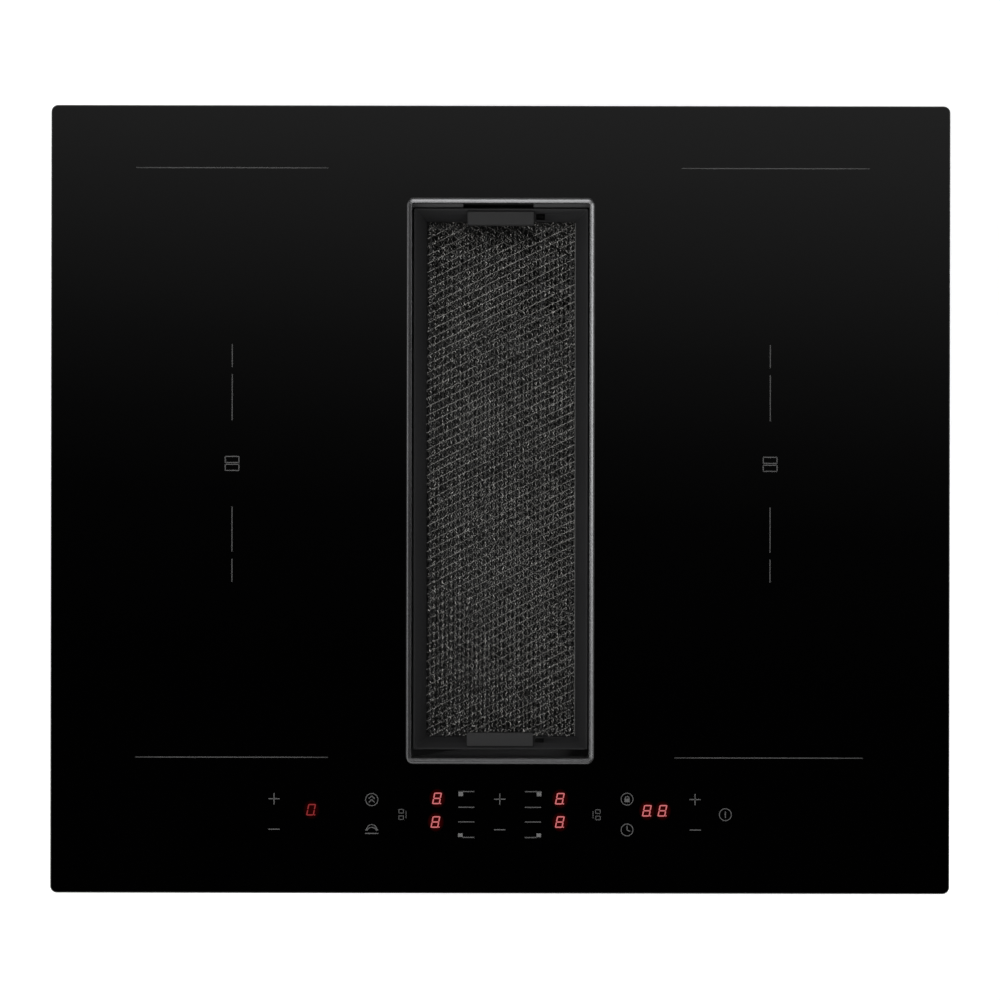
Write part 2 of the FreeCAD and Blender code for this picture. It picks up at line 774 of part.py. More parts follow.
def make_power_components():
    """Film capacitors in a row and a ring choke, beside the heat sink."""
    x = sink_centre_x + sink_width / 2 + capacitor_gap
    pieces = []
    for index in range(capacitor_count):
        front = sink_front + index * (capacitor_width + capacitor_gap)
        pieces.append(block(x, x + capacitor_length, front, front + capacitor_width, board_top,
                            board_top + capacitor_height))
    choke_y = sink_front + capacitor_count * (capacitor_width + capacitor_gap) + choke_radius
    choke_place = (x + choke_radius, choke_y)
    pieces.append(tube(choke_radius, choke_hole_radius, board_top, board_top + choke_height, choke_place))
    return Part.makeCompound(pieces)


def make_cooling_fan_frame():
    """Square frame with a round bore, a hub plate on struts and the pin that carries the rotor."""
    centre = (coil_centre_x, cool_fan_y)
    top = casing_floor + cool_fan_height
    body = slab(cool_fan_side, cool_fan_side, casing_floor, top, centre, cool_fan_corner_radius)
    body = body.cut(post(cool_fan_bore_radius, casing_floor - overrun, top + overrun, centre))
    plate_top = casing_floor + cool_fan_plate
    strut_end = centre[1] + (cool_fan_bore_radius + cool_fan_side / 2) / 2
    half = cool_fan_strut_width / 2
    strut = block(centre[0] - half, centre[0] + half, centre[1], strut_end, casing_floor, plate_top)
    struts = ring_of(strut, cool_fan_strut_count, centre)
    hub = post(cool_fan_hub_radius, casing_floor, plate_top, centre)
    pin = post(cool_fan_pin_radius, casing_floor, top - cool_fan_plate, centre)
    return fused([body, hub, pin] + struts)


def make_cooling_fan_rotor():
    """Hub cup with tilted blades, running on the frame's pin."""
    centre = (coil_centre_x, cool_fan_y)
    bottom = casing_floor + cool_fan_plate + cool_fan_hub_gap
    top = casing_floor + cool_fan_height - cool_fan_hub_gap
    hub = post(cool_fan_hub_radius, bottom, top, centre)
    span = top - bottom
    tip = cool_fan_bore_radius - cool_fan_blade_gap
    lean = math.radians(cool_fan_blade_pitch_angle)
    chord = (span - cool_fan_blade_thickness) / math.cos(lean)
    blade = block(0, tip, -cool_fan_blade_thickness / 2, cool_fan_blade_thickness / 2, -chord / 2, chord / 2)
    blade.rotate(Vector(0, 0, 0), Vector(1, 0, 0), cool_fan_blade_pitch_angle)
    blade.translate(Vector(centre[0], centre[1], (bottom + top) / 2))
    room = post(tip, bottom, top, centre)
    blades = [copy.common(room) for copy in ring_of(blade, cool_fan_blade_count, centre)]
    bore = post(cool_fan_pin_radius + cool_fan_pin_clearance, bottom - overrun, top + overrun, centre)
    return fused([hub] + blades).cut(bore)


# Touch controls

def control_places(shares):
    half_x, half_y = control_board_width / 2, control_board_depth / 2
    return [(sx * half_x, control_centre_y + sy * half_y) for sx, sy in shares]


def make_control_board():
    return slab(control_board_width, control_board_depth, control_board_bottom, control_board_top,
                (0, control_centre_y))


def make_control_carrier():
    """Plastic shelf under the control board, on four legs that stand on the casing floor."""
    width = control_board_width + 2 * carrier_margin
    shelf = slab(width, control_board_depth, control_board_bottom - carrier_thickness, control_board_bottom,
                 (0, control_centre_y), carrier_margin)
    legs = [post(carrier_leg_radius, casing_floor, control_board_bottom - carrier_thickness / 2,
                 (sx * (width / 2 - carrier_leg_inset),
                  control_centre_y + sy * (control_board_depth / 2 - carrier_leg_inset)))
            for sx in (-1, 1) for sy in (-1, 1)]
    return fused([shelf] + legs)


def make_touch_pads():
    return Part.makeCompound([post(touch_pad_radius, control_board_top, glass_bottom, place)
                              for place in control_places(touch_pad_place_shares)])


def make_digit_displays():
    top = control_board_top + display_height
    return Part.makeCompound([slab(digit_width, digit_depth, control_board_top, top, place)
                              for place in control_places(digit_place_shares)])


# Air path of the extractor

def make_intake_duct():
    """Well round the cassette, a ledge that carries it and the chamber that passes down through the casing."""
    ledge_bottom = basket_bottom - ledge_thickness
    flange = slab(well_outer_width + 2 * duct_flange_width, well_outer_depth + 2 * duct_flange_width,
                  glass_bottom - duct_flange_thickness, glass_bottom, slot_centre, duct_flange_width)
    well = slab(well_outer_width, well_outer_depth, ledge_bottom, glass_bottom, slot_centre, duct_wall)
    chamber = slab(chamber_outer_width, chamber_outer_depth, duct_bottom, ledge_bottom, cassette_centre,
                   duct_wall)
    inside = [
        slab(well_width, well_depth, basket_bottom, glass_bottom + overrun, slot_centre),
        slab(chamber_width, chamber_depth, duct_bottom - overrun, basket_bottom + overrun, cassette_centre),
    ]
    return fused([flange, well, chamber]).cut(fused(inside))


def plenum_slab(inset, bottom, top):
    """L-shaped block over the plenum's footprint, drawn in by inset on every side: a long part below the slot
    and a wing out to the fan's inlet."""
    parts = []
    for left, front in ((-plenum_right, plenum_front), (plenum_left, plenum_wing_front)):
        width, depth = plenum_right - left, plenum_back - front
        centre = ((left + plenum_right) / 2, (front + plenum_back) / 2)
        parts.append(slab(width - 2 * inset, depth - 2 * inset, bottom, top, centre,
                          plenum_corner_radius - inset))
    return fused(parts)


def make_plenum_cover():
    """Upper half of the extractor housing, open below, with screw lugs and the socket for the duct."""
    places = plenum_lug_places()
    lugs = [post(lug_radius, casing_bottom - lug_height, casing_bottom, place) for place in places]
    body = fused([plenum_slab(0, plenum_bottom, casing_bottom)] + lugs)
    clear = 2 * duct_plug_clearance
    socket = slab(chamber_outer_width + clear, chamber_outer_depth + clear, plenum_bottom,
                  casing_bottom + overrun, cassette_centre, duct_wall)
    holes = screw_holes(casing_bottom - lug_height, casing_bottom, places)
    inside = plenum_slab(plenum_wall, plenum_bottom - overrun, casing_bottom - plenum_wall)
    return body.cut([socket, inside] + holes)


def scroll_outline(margin, z):
    """Plan of the scroll grown by margin: three quarter arcs of growing radius, a straight outer wall, and a
    slanted inner wall from the tongue to the outlet."""
    x, y = fan_centre
    corner = math.sqrt(0.5)
    radii = [scroll_radius + margin, scroll_radius + margin + scroll_growth]
    radii.append(radii[1] + scroll_growth)
    centres = [Vector(x, y, z), Vector(x - scroll_growth, y, z)]
    centres.append(centres[1] + Vector(0, scroll_growth, 0))
    tongue_foot = Vector(x, y + scroll_radius, z)
    throat = Vector(outlet_right, outlet_plane - spigot_length, z)
    along = (throat - tongue_foot).normalize()
    outward = Vector(along.y, -along.x, 0)
    foot = tongue_foot + outward * margin - centres[0]
    reach = math.sqrt(foot.dot(along) ** 2 - foot.dot(foot) + radii[0] ** 2) - foot.dot(along)
    tongue = centres[0] + foot + along * reach
    bend = throat + outward * margin
    bend = bend + along * ((throat.x + margin - bend.x) / along.x)
    half_way = (tongue - centres[0] + Vector(radii[0], 0, 0)).normalize() * radii[0]
    left = centres[2].x - radii[2]
    edges = [
        Part.Arc(tongue, centres[0] + half_way, centres[0] + Vector(radii[0], 0, 0)),
        Part.Arc(centres[1] + Vector(radii[1], 0, 0), centres[1] + Vector(corner, -corner, 0) * radii[1],
                 centres[1] - Vector(0, radii[1], 0)),
        Part.Arc(centres[2] - Vector(0, radii[2], 0), centres[2] + Vector(-corner, -corner, 0) * radii[2],
                 centres[2] - Vector(radii[2], 0, 0)),
    ]
    corners = [Vector(left, centres[2].y, z), Vector(left, outlet_plane, z), Vector(bend.x, outlet_plane, z),
               bend, tongue]
    edges += [Part.LineSegment(first, last) for first, last in zip(corners, corners[1:])]
    return Part.Wire([edge.toShape() for edge in edges])


def scroll_prism(margin, bottom, top):
    return Part.Face(scroll_outline(margin, bottom)).extrude(Vector(0, 0, top - bottom))


def scroll_screw_places():
    """Screws round the flange of the scroll, outside its wall."""
    reach = scroll_wall + scroll_flange / 2
    x, y = fan_centre
    diagonal = math.sqrt(0.5)
    left = x - scroll_radius - 3 * scroll_growth - reach
    return [
        (x + scroll_radius + reach, y),
        (x + (scroll_radius + reach) * diagonal, y + (scroll_radius + reach) * diagonal),
        (x - scroll_growth, y - scroll_radius - scroll_growth - reach),
        (x - scroll_growth + (scroll_radius + scroll_growth + reach) * diagonal,
         y - (scroll_radius + scroll_growth + reach) * diagonal),
        (left, y + scroll_radius / 2),
        (left, outlet_plane - lug_radius),
    ]


def make_scroll_plate():
    """Plate between plenum and scroll, with the fan's inlet and the hole that the drain collar hangs in."""
    plate = fused([plenum_slab(0, scroll_top, plenum_bottom),
                   scroll_prism(scroll_wall + scroll_flange, scroll_top, plenum_bottom)])
    lip = post(inlet_radius + inlet_lip_wall, scroll_top, plenum_bottom + inlet_lip_height, fan_centre)
    width, depth = overflow_collar_size()
    clear = 2 * drain_fit_clearance
    drain = slab(width + clear, depth + clear, scroll_top - overrun, plenum_bottom + overrun, overflow_centre)
    inlet = post(inlet_radius, scroll_top - overrun, plenum_bottom + inlet_lip_height + overrun, fan_centre)
    holes = screw_holes(scroll_top, plenum_bottom, scroll_screw_places())
    return fused([plate, lip]).cut([inlet, drain] + holes)


def make_fan_scroll():
    """Lower half of the extractor housing: spiral wall, ribbed floor, screw flange and outlet mouth."""
    shell = scroll_prism(scroll_wall, scroll_bottom, scroll_top)
    flange = scroll_prism(scroll_wall + scroll_flange, scroll_top - scroll_plate_thickness, scroll_top)
    rib_bottom, half = scroll_bottom - scroll_rib_height, scroll_rib_width / 2
    rib = block(fan_centre_x + motor_radius, fan_centre_x + scroll_radius, fan_centre_y - half,
                fan_centre_y + half, rib_bottom, scroll_bottom)
    ribs = ring_of(rib, scroll_rib_count, fan_centre)
    ring = tube(motor_foot_radius, motor_foot_radius - scroll_rib_width, rib_bottom, scroll_bottom, fan_centre)
    body = fused([shell, flange, ring] + ribs)
    air = scroll_prism(0, scroll_floor_top, scroll_top + overrun)
    mouth = block(outlet_left, outlet_right, outlet_plane - overrun, outlet_plane + overrun, scroll_floor_top,
                  scroll_top + overrun)
    holes = screw_holes(scroll_top - scroll_plate_thickness, scroll_top, scroll_screw_places())
    return body.cut([air, mouth] + holes)


def make_outlet_spigot():
    """Flat-duct sleeve behind the scroll, with a stop bead for the duct."""
    centre_x = (outlet_left + outlet_right) / 2
    middle_z = (scroll_top + scroll_floor_top) / 2
    back = outlet_plane + spigot_length
    bead = outlet_plane + spigot_stop_place

    def prism(margin, front, end):
        half_x, half_z = spigot_width / 2 + margin, spigot_height / 2 + margin
        return block(centre_x - half_x, centre_x + half_x, front, end, middle_z - half_z, middle_z + half_z)

    stop = prism(spigot_stop_width, bead, bead + spigot_stop_thickness)
    bore = prism(-spigot_wall, outlet_plane - overrun, back + overrun)
    return fused([prism(0, outlet_plane, back), stop]).cut(bore)


# Extractor motor and impeller

motor_floor = scroll_floor_top + motor_foot_thickness
rotor_top = scroll_floor_top + motor_height
hub_top = rotor_top + impeller_hub_wall
impeller_top = scroll_top - impeller_end_gap
impeller_bottom = scroll_floor_top + impeller_end_gap
bearing_tube_radius = bearing_radius + bearing_seat_clearance + motor_tube_wall
bearing_tube_top = rotor_top - motor_cup_wall - motor_air_gap
bearing_bottoms = (motor_floor, bearing_tube_top - bearing_width)


def make_motor_stator():
    """Foot plate, bearing tube and slotted core of the outer-rotor motor."""
    foot = post(motor_foot_radius, scroll_floor_top, motor_floor, fan_centre)
    tower = post(bearing_tube_radius, scroll_floor_top, bearing_tube_top, fan_centre)
    core_radius = motor_radius - motor_cup_wall - motor_air_gap
    core_bottom = (motor_floor + bearing_tube_top - motor_core_height) / 2
    core_top = core_bottom + motor_core_height
    core = post(core_radius, core_bottom, core_top, fan_centre)
    slot_outer = core_radius - motor_slot_wall
    slot_end, half = fan_centre_x + slot_outer, motor_slot_width / 2
    slot = block(slot_end - motor_slot_depth, slot_end, fan_centre_y - half, fan_centre_y + half,
                 core_bottom - overrun, core_top + overrun)
    room = tube(slot_outer, bearing_tube_radius, core_bottom, core_top, fan_centre)
    slots = [copy.common(room) for copy in ring_of(slot, motor_slot_count, fan_centre)]
    bore = post(bearing_radius + bearing_seat_clearance, motor_floor, bearing_tube_top + overrun, fan_centre)
    return fused([foot, tower, core]).cut(slots + [bore])


def make_motor_bearings():
    bore = shaft_radius + shaft_clearance
    return Part.makeCompound([tube(bearing_radius, bore, bottom, bottom + bearing_width, fan_centre)
                              for bottom in bearing_bottoms])


def make_motor_shaft():
    return post(shaft_radius, motor_floor + shaft_end_gap, hub_top + shaft_over_hub, fan_centre)


def make_motor_rotor():
    """Cup that spins round the stator core; its deck is pressed on the shaft."""
    bottom = motor_floor + motor_air_gap
    cup = post(motor_radius, bottom, rotor_top, fan_centre)
    inside = post(motor_radius - motor_cup_wall, bottom - overrun, rotor_top - motor_cup_wall, fan_centre)
    return cup.cut([inside, post(shaft_radius, bottom - overrun, rotor_top + overrun, fan_centre)])


def impeller_blade():
    """One forward-curved blade, seen from above as a strip along an arc."""
    inner, outer = impeller_inner_radius, impeller_radius - impeller_plate
    middle = (inner + outer) / 2
    lean = math.radians(impeller_blade_lean_angle)

    bottom, top = impeller_bottom + impeller_plate, impeller_top - impeller_plate

    def at(radius, turn, shift):
        angle = turn * lean + shift / radius
        x, y = radius * math.cos(angle), radius * math.sin(angle)
        return Vector(fan_centre_x + x, fan_centre_y + y, bottom)

    def flank(shift):
        return [at(inner, 0, shift), at(middle, -impeller_blade_bow_share, shift), at(outer, -1, shift)]

    front, rear = flank(impeller_blade_thickness / 2), flank(-impeller_blade_thickness / 2)
    curves = [Part.Arc(*front), Part.Arc(*rear)]
    curves += [Part.LineSegment(front[end], rear[end]) for end in (0, -1)]
    outline = Part.Wire(Part.__sortEdges__([curve.toShape() for curve in curves]))
    return Part.Face(outline).extrude(Vector(0, 0, top - bottom))


def make_impeller():
    """Wheel of forward-curved blades that stand on a back plate; its hub caps the motor."""
    hub_radius = motor_radius + impeller_hub_gap + impeller_hub_wall
    plate = post(impeller_radius, impeller_bottom, impeller_bottom + impeller_plate, fan_centre)
    hub = post(hub_radius, impeller_bottom, hub_top, fan_centre)
    blades = ring_of(impeller_blade(), impeller_blade_count, fan_centre)
    room = post(motor_radius + impeller_hub_gap, impeller_bottom - overrun, rotor_top, fan_centre)
    bore = post(shaft_radius, impeller_bottom - overrun, hub_top + overrun, fan_centre)
    return Part.makeCompound([fused([plate, hub]).cut([room, bore])] + blades)


def make_impeller_ring():
    """Shroud ring over the ends of the wheel's blades."""
    bottom = impeller_top - impeller_plate
    return tube(impeller_radius, impeller_inner_radius, bottom, impeller_top, fan_centre)


# Overflow tray

def overflow_collar_size():
    gap = 2 * (overflow_wall + overflow_collar_clearance)
    return (overflow_width - gap, overflow_length - gap)


def make_drain_collar():
    """Frame that hangs by its flange in the scroll plate; the overflow tray pushes up over it."""
    width, depth = overflow_collar_size()
    radius = overflow_corner_radius - overflow_wall
    bottom, top = scroll_top - overflow_collar_depth, plenum_bottom + drain_flange_thickness
    frame = slab(width, depth, bottom, top, overflow_centre, radius)
    reach = 2 * drain_flange_width
    flange = slab(width + reach, depth + reach, plenum_bottom, top, overflow_centre, radius)
    wall = 2 * overflow_collar_wall
    drain = slab(width - wall, depth - wall, bottom - overrun, top + overrun, overflow_centre,
                 radius - overflow_collar_wall)
    return fused([frame, flange]).cut(drain)


def make_overflow_tray():
    """Walls and rim of the tray that pushes up over the drain collar."""
    walls = slab(overflow_width, overflow_length, overflow_floor, overflow_top, overflow_centre,
                 overflow_corner_radius)
    rim_width = 2 * overflow_rim_width
    lip = slab(overflow_width + rim_width, overflow_length + rim_width, overflow_top - overflow_rim_thickness,
               overflow_top, overflow_centre, overflow_corner_radius + overflow_rim_width)
    wall = 2 * overflow_wall
    inside = slab(overflow_width - wall, overflow_length - wall, overflow_floor - overrun,
                  overflow_top + overrun, overflow_centre, overflow_corner_radius - overflow_wall)
    return fused([walls, lip]).cut(inside)


def make_overflow_base():
    """Floor that is welded under the tray's walls, with the grip for pulling the tray off."""
    bottom = overflow_floor - overflow_wall
    plate = slab(overflow_width, overflow_length, bottom, overflow_floor, overflow_centre,
                 overflow_corner_radius)
    grip = slab(overflow_grip_depth, overflow_grip_width, bottom - overflow_grip_height, bottom,
                overflow_centre, overflow_grip_depth / 4)
    return fused([plate, grip])


# Electrical boxes

def make_box(centre, size, holes):
    """Box under the casing floor, open below, with two screw lugs."""
    width, depth, height = size
    wall = 2 * box_wall
    lug_places = [(centre[0] + side * (width / 2 + lug_stand), centre[1]) for side in (-1, 1)]
    lugs = [post(lug_radius, casing_bottom - lug_height, casing_bottom, place) for place in lug_places]
    body = slab(width, depth, casing_bottom - height, casing_bottom, centre, box_corner_radius)
    inside = slab(width - wall, depth - wall, casing_bottom - height - overrun, casing_bottom - box_wall,
                  centre, box_corner_radius - box_wall)
    screws = screw_holes(casing_bottom - lug_height, casing_bottom, lug_places)
    return fused([body] + lugs).cut([inside] + screws + holes)


def make_box_lid(centre, size):
    top = casing_bottom - size[2]
    return slab(size[0], size[1], top - box_lid_thickness, top, centre, box_corner_radius)


fan_box_size = (fan_box_width, fan_box_depth, fan_box_height)
terminal_box_size = (terminal_box_width, terminal_box_depth, terminal_box_height)
gland_z = casing_bottom - terminal_box_height / 2
gland_face = terminal_box_centre[1] + terminal_box_depth / 2


def along_y(radius, front, back):
    """Cylinder on the cable gland's axis."""
    start = Vector(terminal_box_centre[0], front, gland_z)
    return Part.makeCylinder(radius, back - front, start, Vector(0, 1, 0))


def make_terminal_block():
    """Row of screw terminals on the roof of the terminal box, each with a well for its screw."""
    top = casing_bottom - box_wall
    bottom = top - terminal_pole_height
    width = terminal_pole_count * terminal_pole_width
    left = terminal_box_centre[0] - width / 2
    front = terminal_box_centre[1] - terminal_pole_depth / 2
    body = block(left, left + width, front, front + terminal_pole_depth, bottom, top)
    wells = []
    for index in range(terminal_pole_count):
        place = (left + terminal_pole_width / 2 + index * terminal_pole_width, terminal_box_centre[1])
        wells.append(post(terminal_well_radius, bottom - overrun, bottom + terminal_well_depth, place))
    return body.cut(wells)


def make_cable_gland():
    """Bushing in the back wall of the terminal box, with a clear bore for the mains cable."""
    tail = gland_face - box_wall - gland_tail_length
    end = gland_face + gland_head_length
    body = along_y(gland_radius, tail, gland_face)
    head = along_y(gland_head_radius, gland_face, end)
    return fused([body, head]).cut(along_y(gland_bore_radius, tail - overrun, end + overrun))


# Screws

def screw(place, seat, grip):
    """Pan-head screw driven upwards: the head is below seat and the shank ends grip above it."""
    shank = post(screw_radius, seat - screw_head_height / 2, seat + grip, place)
    head = post(screw_head_radius, seat - screw_head_height, seat, place)
    return fused([head, shank])


def make_screws():
    """Screws of the clamps, of the lugs under the casing and of the scroll's flange."""
    grip = casing_sheet + screw_grip
    screws = [screw(place, casing_bottom - clamp_sheet, clamp_sheet + grip) for place in clamp_screw_places()]
    screws += [screw(place, casing_bottom - lug_height, lug_height + grip)
               for place in plenum_lug_places() + box_screw_places()]
    seat = scroll_top - scroll_plate_thickness
    screws += [screw(place, seat, 2 * scroll_plate_thickness) for place in scroll_screw_places()]
    return Part.makeCompound(screws)


def all_nodes():
    """Every node's shape by name."""
    gland_hole = along_y(gland_radius, gland_face - box_wall - overrun, gland_face + overrun)
    nodes = {
        "glass_top": make_glass_top(),
        "worktop_seal": make_worktop_seal(),
        "glass_adhesive": make_glass_adhesive(),
        "intake_trim": make_intake_trim(),
        "trim_seal": make_trim_seal(),
        "filter_frame": make_filter_frame(),
        "filter_mesh": make_filter_mesh(),
        "filter_grid": make_filter_grid(),
        "filter_handle_front": make_filter_handle(-1),
        "filter_handle_rear": make_filter_handle(1),
        "hob_casing": make_hob_casing(),
        "fixing_clamps": make_fixing_clamps(),
        "coil_sensors": make_coil_sensors(),
        "control_board": make_control_board(),
        "control_carrier": make_control_carrier(),
        "touch_pads": make_touch_pads(),
        "digit_displays": make_digit_displays(),
        "intake_duct": make_intake_duct(),
        "plenum_cover": make_plenum_cover(),
        "scroll_plate": make_scroll_plate(),
        "fan_scroll": make_fan_scroll(),
        "outlet_spigot": make_outlet_spigot(),
        "impeller": make_impeller(),
        "impeller_ring": make_impeller_ring(),
        "motor_rotor": make_motor_rotor(),
        "motor_shaft": make_motor_shaft(),
        "motor_stator": make_motor_stator(),
        "motor_bearings": make_motor_bearings(),
        "drain_collar": make_drain_collar(),
        "overflow_tray": make_overflow_tray(),
        "overflow_base": make_overflow_base(),
        "fan_control_box": make_box(fan_box_centre, fan_box_size, []),
        "fan_control_lid": make_box_lid(fan_box_centre, fan_box_size),
        "terminal_box": make_box(terminal_box_centre, terminal_box_size, [gland_hole]),
        "terminal_lid": make_box_lid(terminal_box_centre, terminal_box_size),
        "terminal_block": make_terminal_block(),
        "cable_gland": make_cable_gland(),
        "screws": make_screws(),
    }
    right_hand = {
        "mica_sheet": make_mica_sheet(),
        "coil_tray": make_coil_tray(),
        "power_board": make_power_board(),
        "heat_sink": make_heat_sink(),
        "power_components": make_power_components(),
        "cooling_fan_frame": make_cooling_fan_frame(),
        "cooling_fan_rotor": make_cooling_fan_rotor(),
    }
    for name, shape in right_hand.items():
        nodes[name + "_right"] = shape
        nodes[name + "_left"] = mirrored(shape)
    for side, sign in (("left", -1), ("right", 1)):
        formers, bars = [], []
        for row, y in zip(("front", "rear"), coil_centre_ys):
            centre = (sign * coil_centre_x, y)
            nodes[f"coil_{row}_{side}"] = make_coil(centre)
            formers.append(make_coil_former(centre))
            bars += make_ferrite_bars(centre)
        nodes[f"coil_formers_{side}"] = Part.makeCompound(formers)
        nodes[f"ferrite_bars_{side}"] = Part.makeCompound(bars)
    return nodes


os.makedirs("parts", exist_ok=True)
for node, shape in all_nodes().items():
    if not shape.isValid() or any(s.Volume <= 0 for s in shape.Solids):
        print("check this shape:", node)
    shape.exportStep(f"parts/{node}.step")
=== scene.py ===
import json
import math

import bmesh
import bpy
from mathutils import Matrix, Vector


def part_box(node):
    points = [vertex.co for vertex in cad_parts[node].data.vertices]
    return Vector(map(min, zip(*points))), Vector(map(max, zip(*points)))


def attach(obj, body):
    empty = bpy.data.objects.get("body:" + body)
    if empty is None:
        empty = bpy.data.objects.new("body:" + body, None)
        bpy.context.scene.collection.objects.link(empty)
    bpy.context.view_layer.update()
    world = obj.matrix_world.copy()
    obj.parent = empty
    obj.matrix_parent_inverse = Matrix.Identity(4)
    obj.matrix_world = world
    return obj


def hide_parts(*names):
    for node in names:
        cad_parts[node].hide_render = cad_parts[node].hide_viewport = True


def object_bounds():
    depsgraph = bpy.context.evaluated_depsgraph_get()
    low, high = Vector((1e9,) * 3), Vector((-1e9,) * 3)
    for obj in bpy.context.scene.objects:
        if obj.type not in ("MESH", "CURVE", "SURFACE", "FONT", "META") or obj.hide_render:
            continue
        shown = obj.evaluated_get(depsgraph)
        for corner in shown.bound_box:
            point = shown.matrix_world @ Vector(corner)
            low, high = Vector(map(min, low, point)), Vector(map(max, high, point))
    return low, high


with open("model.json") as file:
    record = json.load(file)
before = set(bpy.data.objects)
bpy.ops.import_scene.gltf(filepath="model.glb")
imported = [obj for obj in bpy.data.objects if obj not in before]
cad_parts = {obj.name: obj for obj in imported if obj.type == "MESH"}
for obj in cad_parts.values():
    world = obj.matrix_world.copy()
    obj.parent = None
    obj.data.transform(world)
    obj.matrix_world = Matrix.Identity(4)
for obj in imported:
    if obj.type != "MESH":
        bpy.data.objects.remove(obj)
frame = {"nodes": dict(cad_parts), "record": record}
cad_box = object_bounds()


# Casing: a tray deep-drawn from zinc-coated steel sheet, with an inward rim that is bonded under the glass.
# Everything else hangs on it. Its floor has the cooling air slots and the upturned opening for the extractor.

mm = 0.001
solids = frame["nodes"]
record = frame["record"]


def put(tree, kind, plugs=None, **settings):
    """Add a node; plugs are values, or outputs to join, for its input sockets by name or number."""
    node = tree.nodes.new(kind)
    for name, value in settings.items():
        setattr(node, name, value)
    for socket, value in (plugs or {}).items():
        if isinstance(value, bpy.types.NodeSocket):
            tree.links.new(value, node.inputs[socket])
        else:
            node.inputs[socket].default_value = value
    return node


def sums(tree, operation, *values):
    """Output of a Math node."""
    return put(tree, "ShaderNodeMath", dict(enumerate(values)), operation=operation).outputs[0]


def spread(tree, value, low, high, start=0.3, end=0.7):
    """A value that runs from start to end, as a noise mostly does, spread between low and high."""
    plugs = {"Value": value, "From Min": start, "From Max": end, "To Min": low, "To Max": high}
    return put(tree, "ShaderNodeMapRange", plugs).outputs["Result"]


def noise(tree, place, scale, detail=2.0):
    """Output of a soft noise texture."""
    return put(tree, "ShaderNodeTexNoise", {"Vector": place, "Scale": scale, "Detail": detail}).outputs[0]


def finish_group(name, size):
    """Begin a shader group for a surface finish whose features have a size, with an input for it.
    It returns the group, the place on the piece and the texture scale for that size."""
    group = bpy.data.node_groups.new(name, "ShaderNodeTree")
    for socket, kind in (("Colour", "NodeSocketColor"), ("Roughness", "NodeSocketFloat")):
        group.interface.new_socket(socket, in_out="INPUT", socket_type=kind)
        group.interface.new_socket(socket, in_out="OUTPUT", socket_type=kind)
    group.interface.new_socket(size, in_out="INPUT", socket_type="NodeSocketFloat")
    group.interface.new_socket("Relief", in_out="OUTPUT", socket_type="NodeSocketFloat")
    given = put(group, "NodeGroupInput", name="Given").outputs
    place = put(group, "ShaderNodeTexCoord").outputs["Object"]
    return group, place, sums(group, "DIVIDE", 1.0, given[size])


def end_finish(group, tone, mattness, relief):
    """Complete a finish group: the colour times a tone, the roughness times a mattness, and the relief."""
    given = group.nodes["Given"].outputs
    plugs = {0: given["Colour"], "Scale": tone}
    colour = put(group, "ShaderNodeVectorMath", plugs, operation="SCALE").outputs[0]
    roughness = sums(group, "MULTIPLY", given["Roughness"], mattness)
    put(group, "NodeGroupOutput", {"Colour": colour, "Roughness": roughness, "Relief": relief})


zinc_spangle, place, flake_scale = finish_group("Zinc spangle", "Flake Size")
flakes = put(zinc_spangle, "ShaderNodeTexVoronoi", {"Vector": place, "Scale": flake_scale}).outputs["Color"]
tints = put(zinc_spangle, "ShaderNodeSeparateColor", {0: flakes}).outputs
flake_tone = spread(zinc_spangle, tints[0], 0.9, 1.06, 0.0, 1.0)
cloud_tone = spread(zinc_spangle, noise(zinc_spangle, place, scale=9.0, detail=3.0), 0.93, 1.05)
tone = sums(zinc_spangle, "MULTIPLY", flake_tone, cloud_tone)
mattness = spread(zinc_spangle, tints[1], 0.88, 1.12, 0.0, 1.0)
end_finish(zinc_spangle, tone, mattness, noise(zinc_spangle, place, scale=900.0))


def dressed(name, group, colour, roughness, relief, **values):
    """Material with a finish group; further values go to its own or the shader's sockets of those names."""
    material = bpy.data.materials.new(name)
    material.use_nodes = True
    tree = material.node_tree
    shader = tree.nodes["Principled BSDF"]
    plugs = {"Colour": (*colour, 1.0), "Roughness": roughness}
    finish = put(tree, "ShaderNodeGroup", plugs, node_tree=group)
    for socket, value in values.items():
        socket = socket.replace("_", " ")
        owner = finish if socket in finish.inputs else shader
        owner.inputs[socket].default_value = value
    bump = put(tree, "ShaderNodeBump", {"Height": finish.outputs["Relief"], "Distance": relief})
    tree.links.new(finish.outputs["Colour"], shader.inputs["Base Color"])
    tree.links.new(finish.outputs["Roughness"], shader.inputs["Roughness"])
    tree.links.new(bump.outputs["Normal"], shader.inputs["Normal"])
    return material


def baked(obj):
    """Turn what an object's modifiers make into its own plain mesh."""
    evaluated = obj.evaluated_get(bpy.context.evaluated_depsgraph_get())
    mesh = bpy.data.meshes.new_from_object(evaluated)
    obj.modifiers.clear()
    obj.data = mesh


def mounted(obj, slot, body, *replaced):
    """Let a finished piece ride on its body, in place of solids; the material slot is not used."""
    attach(obj, body)
    if replaced:
        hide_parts(*replaced)


def new_piece(name, shape, material, crease=30.0):
    """Object in the scene from a bmesh, smooth up to the crease angle."""
    mesh = bpy.data.meshes.new(name)
    shape.to_mesh(mesh)
    shape.free()
    mesh.materials.append(material)
    mesh.shade_smooth()
    mesh.set_sharp_from_angle(angle=math.radians(crease))
    obj = bpy.data.objects.new(name, mesh)
    bpy.context.scene.collection.objects.link(obj)
    return obj


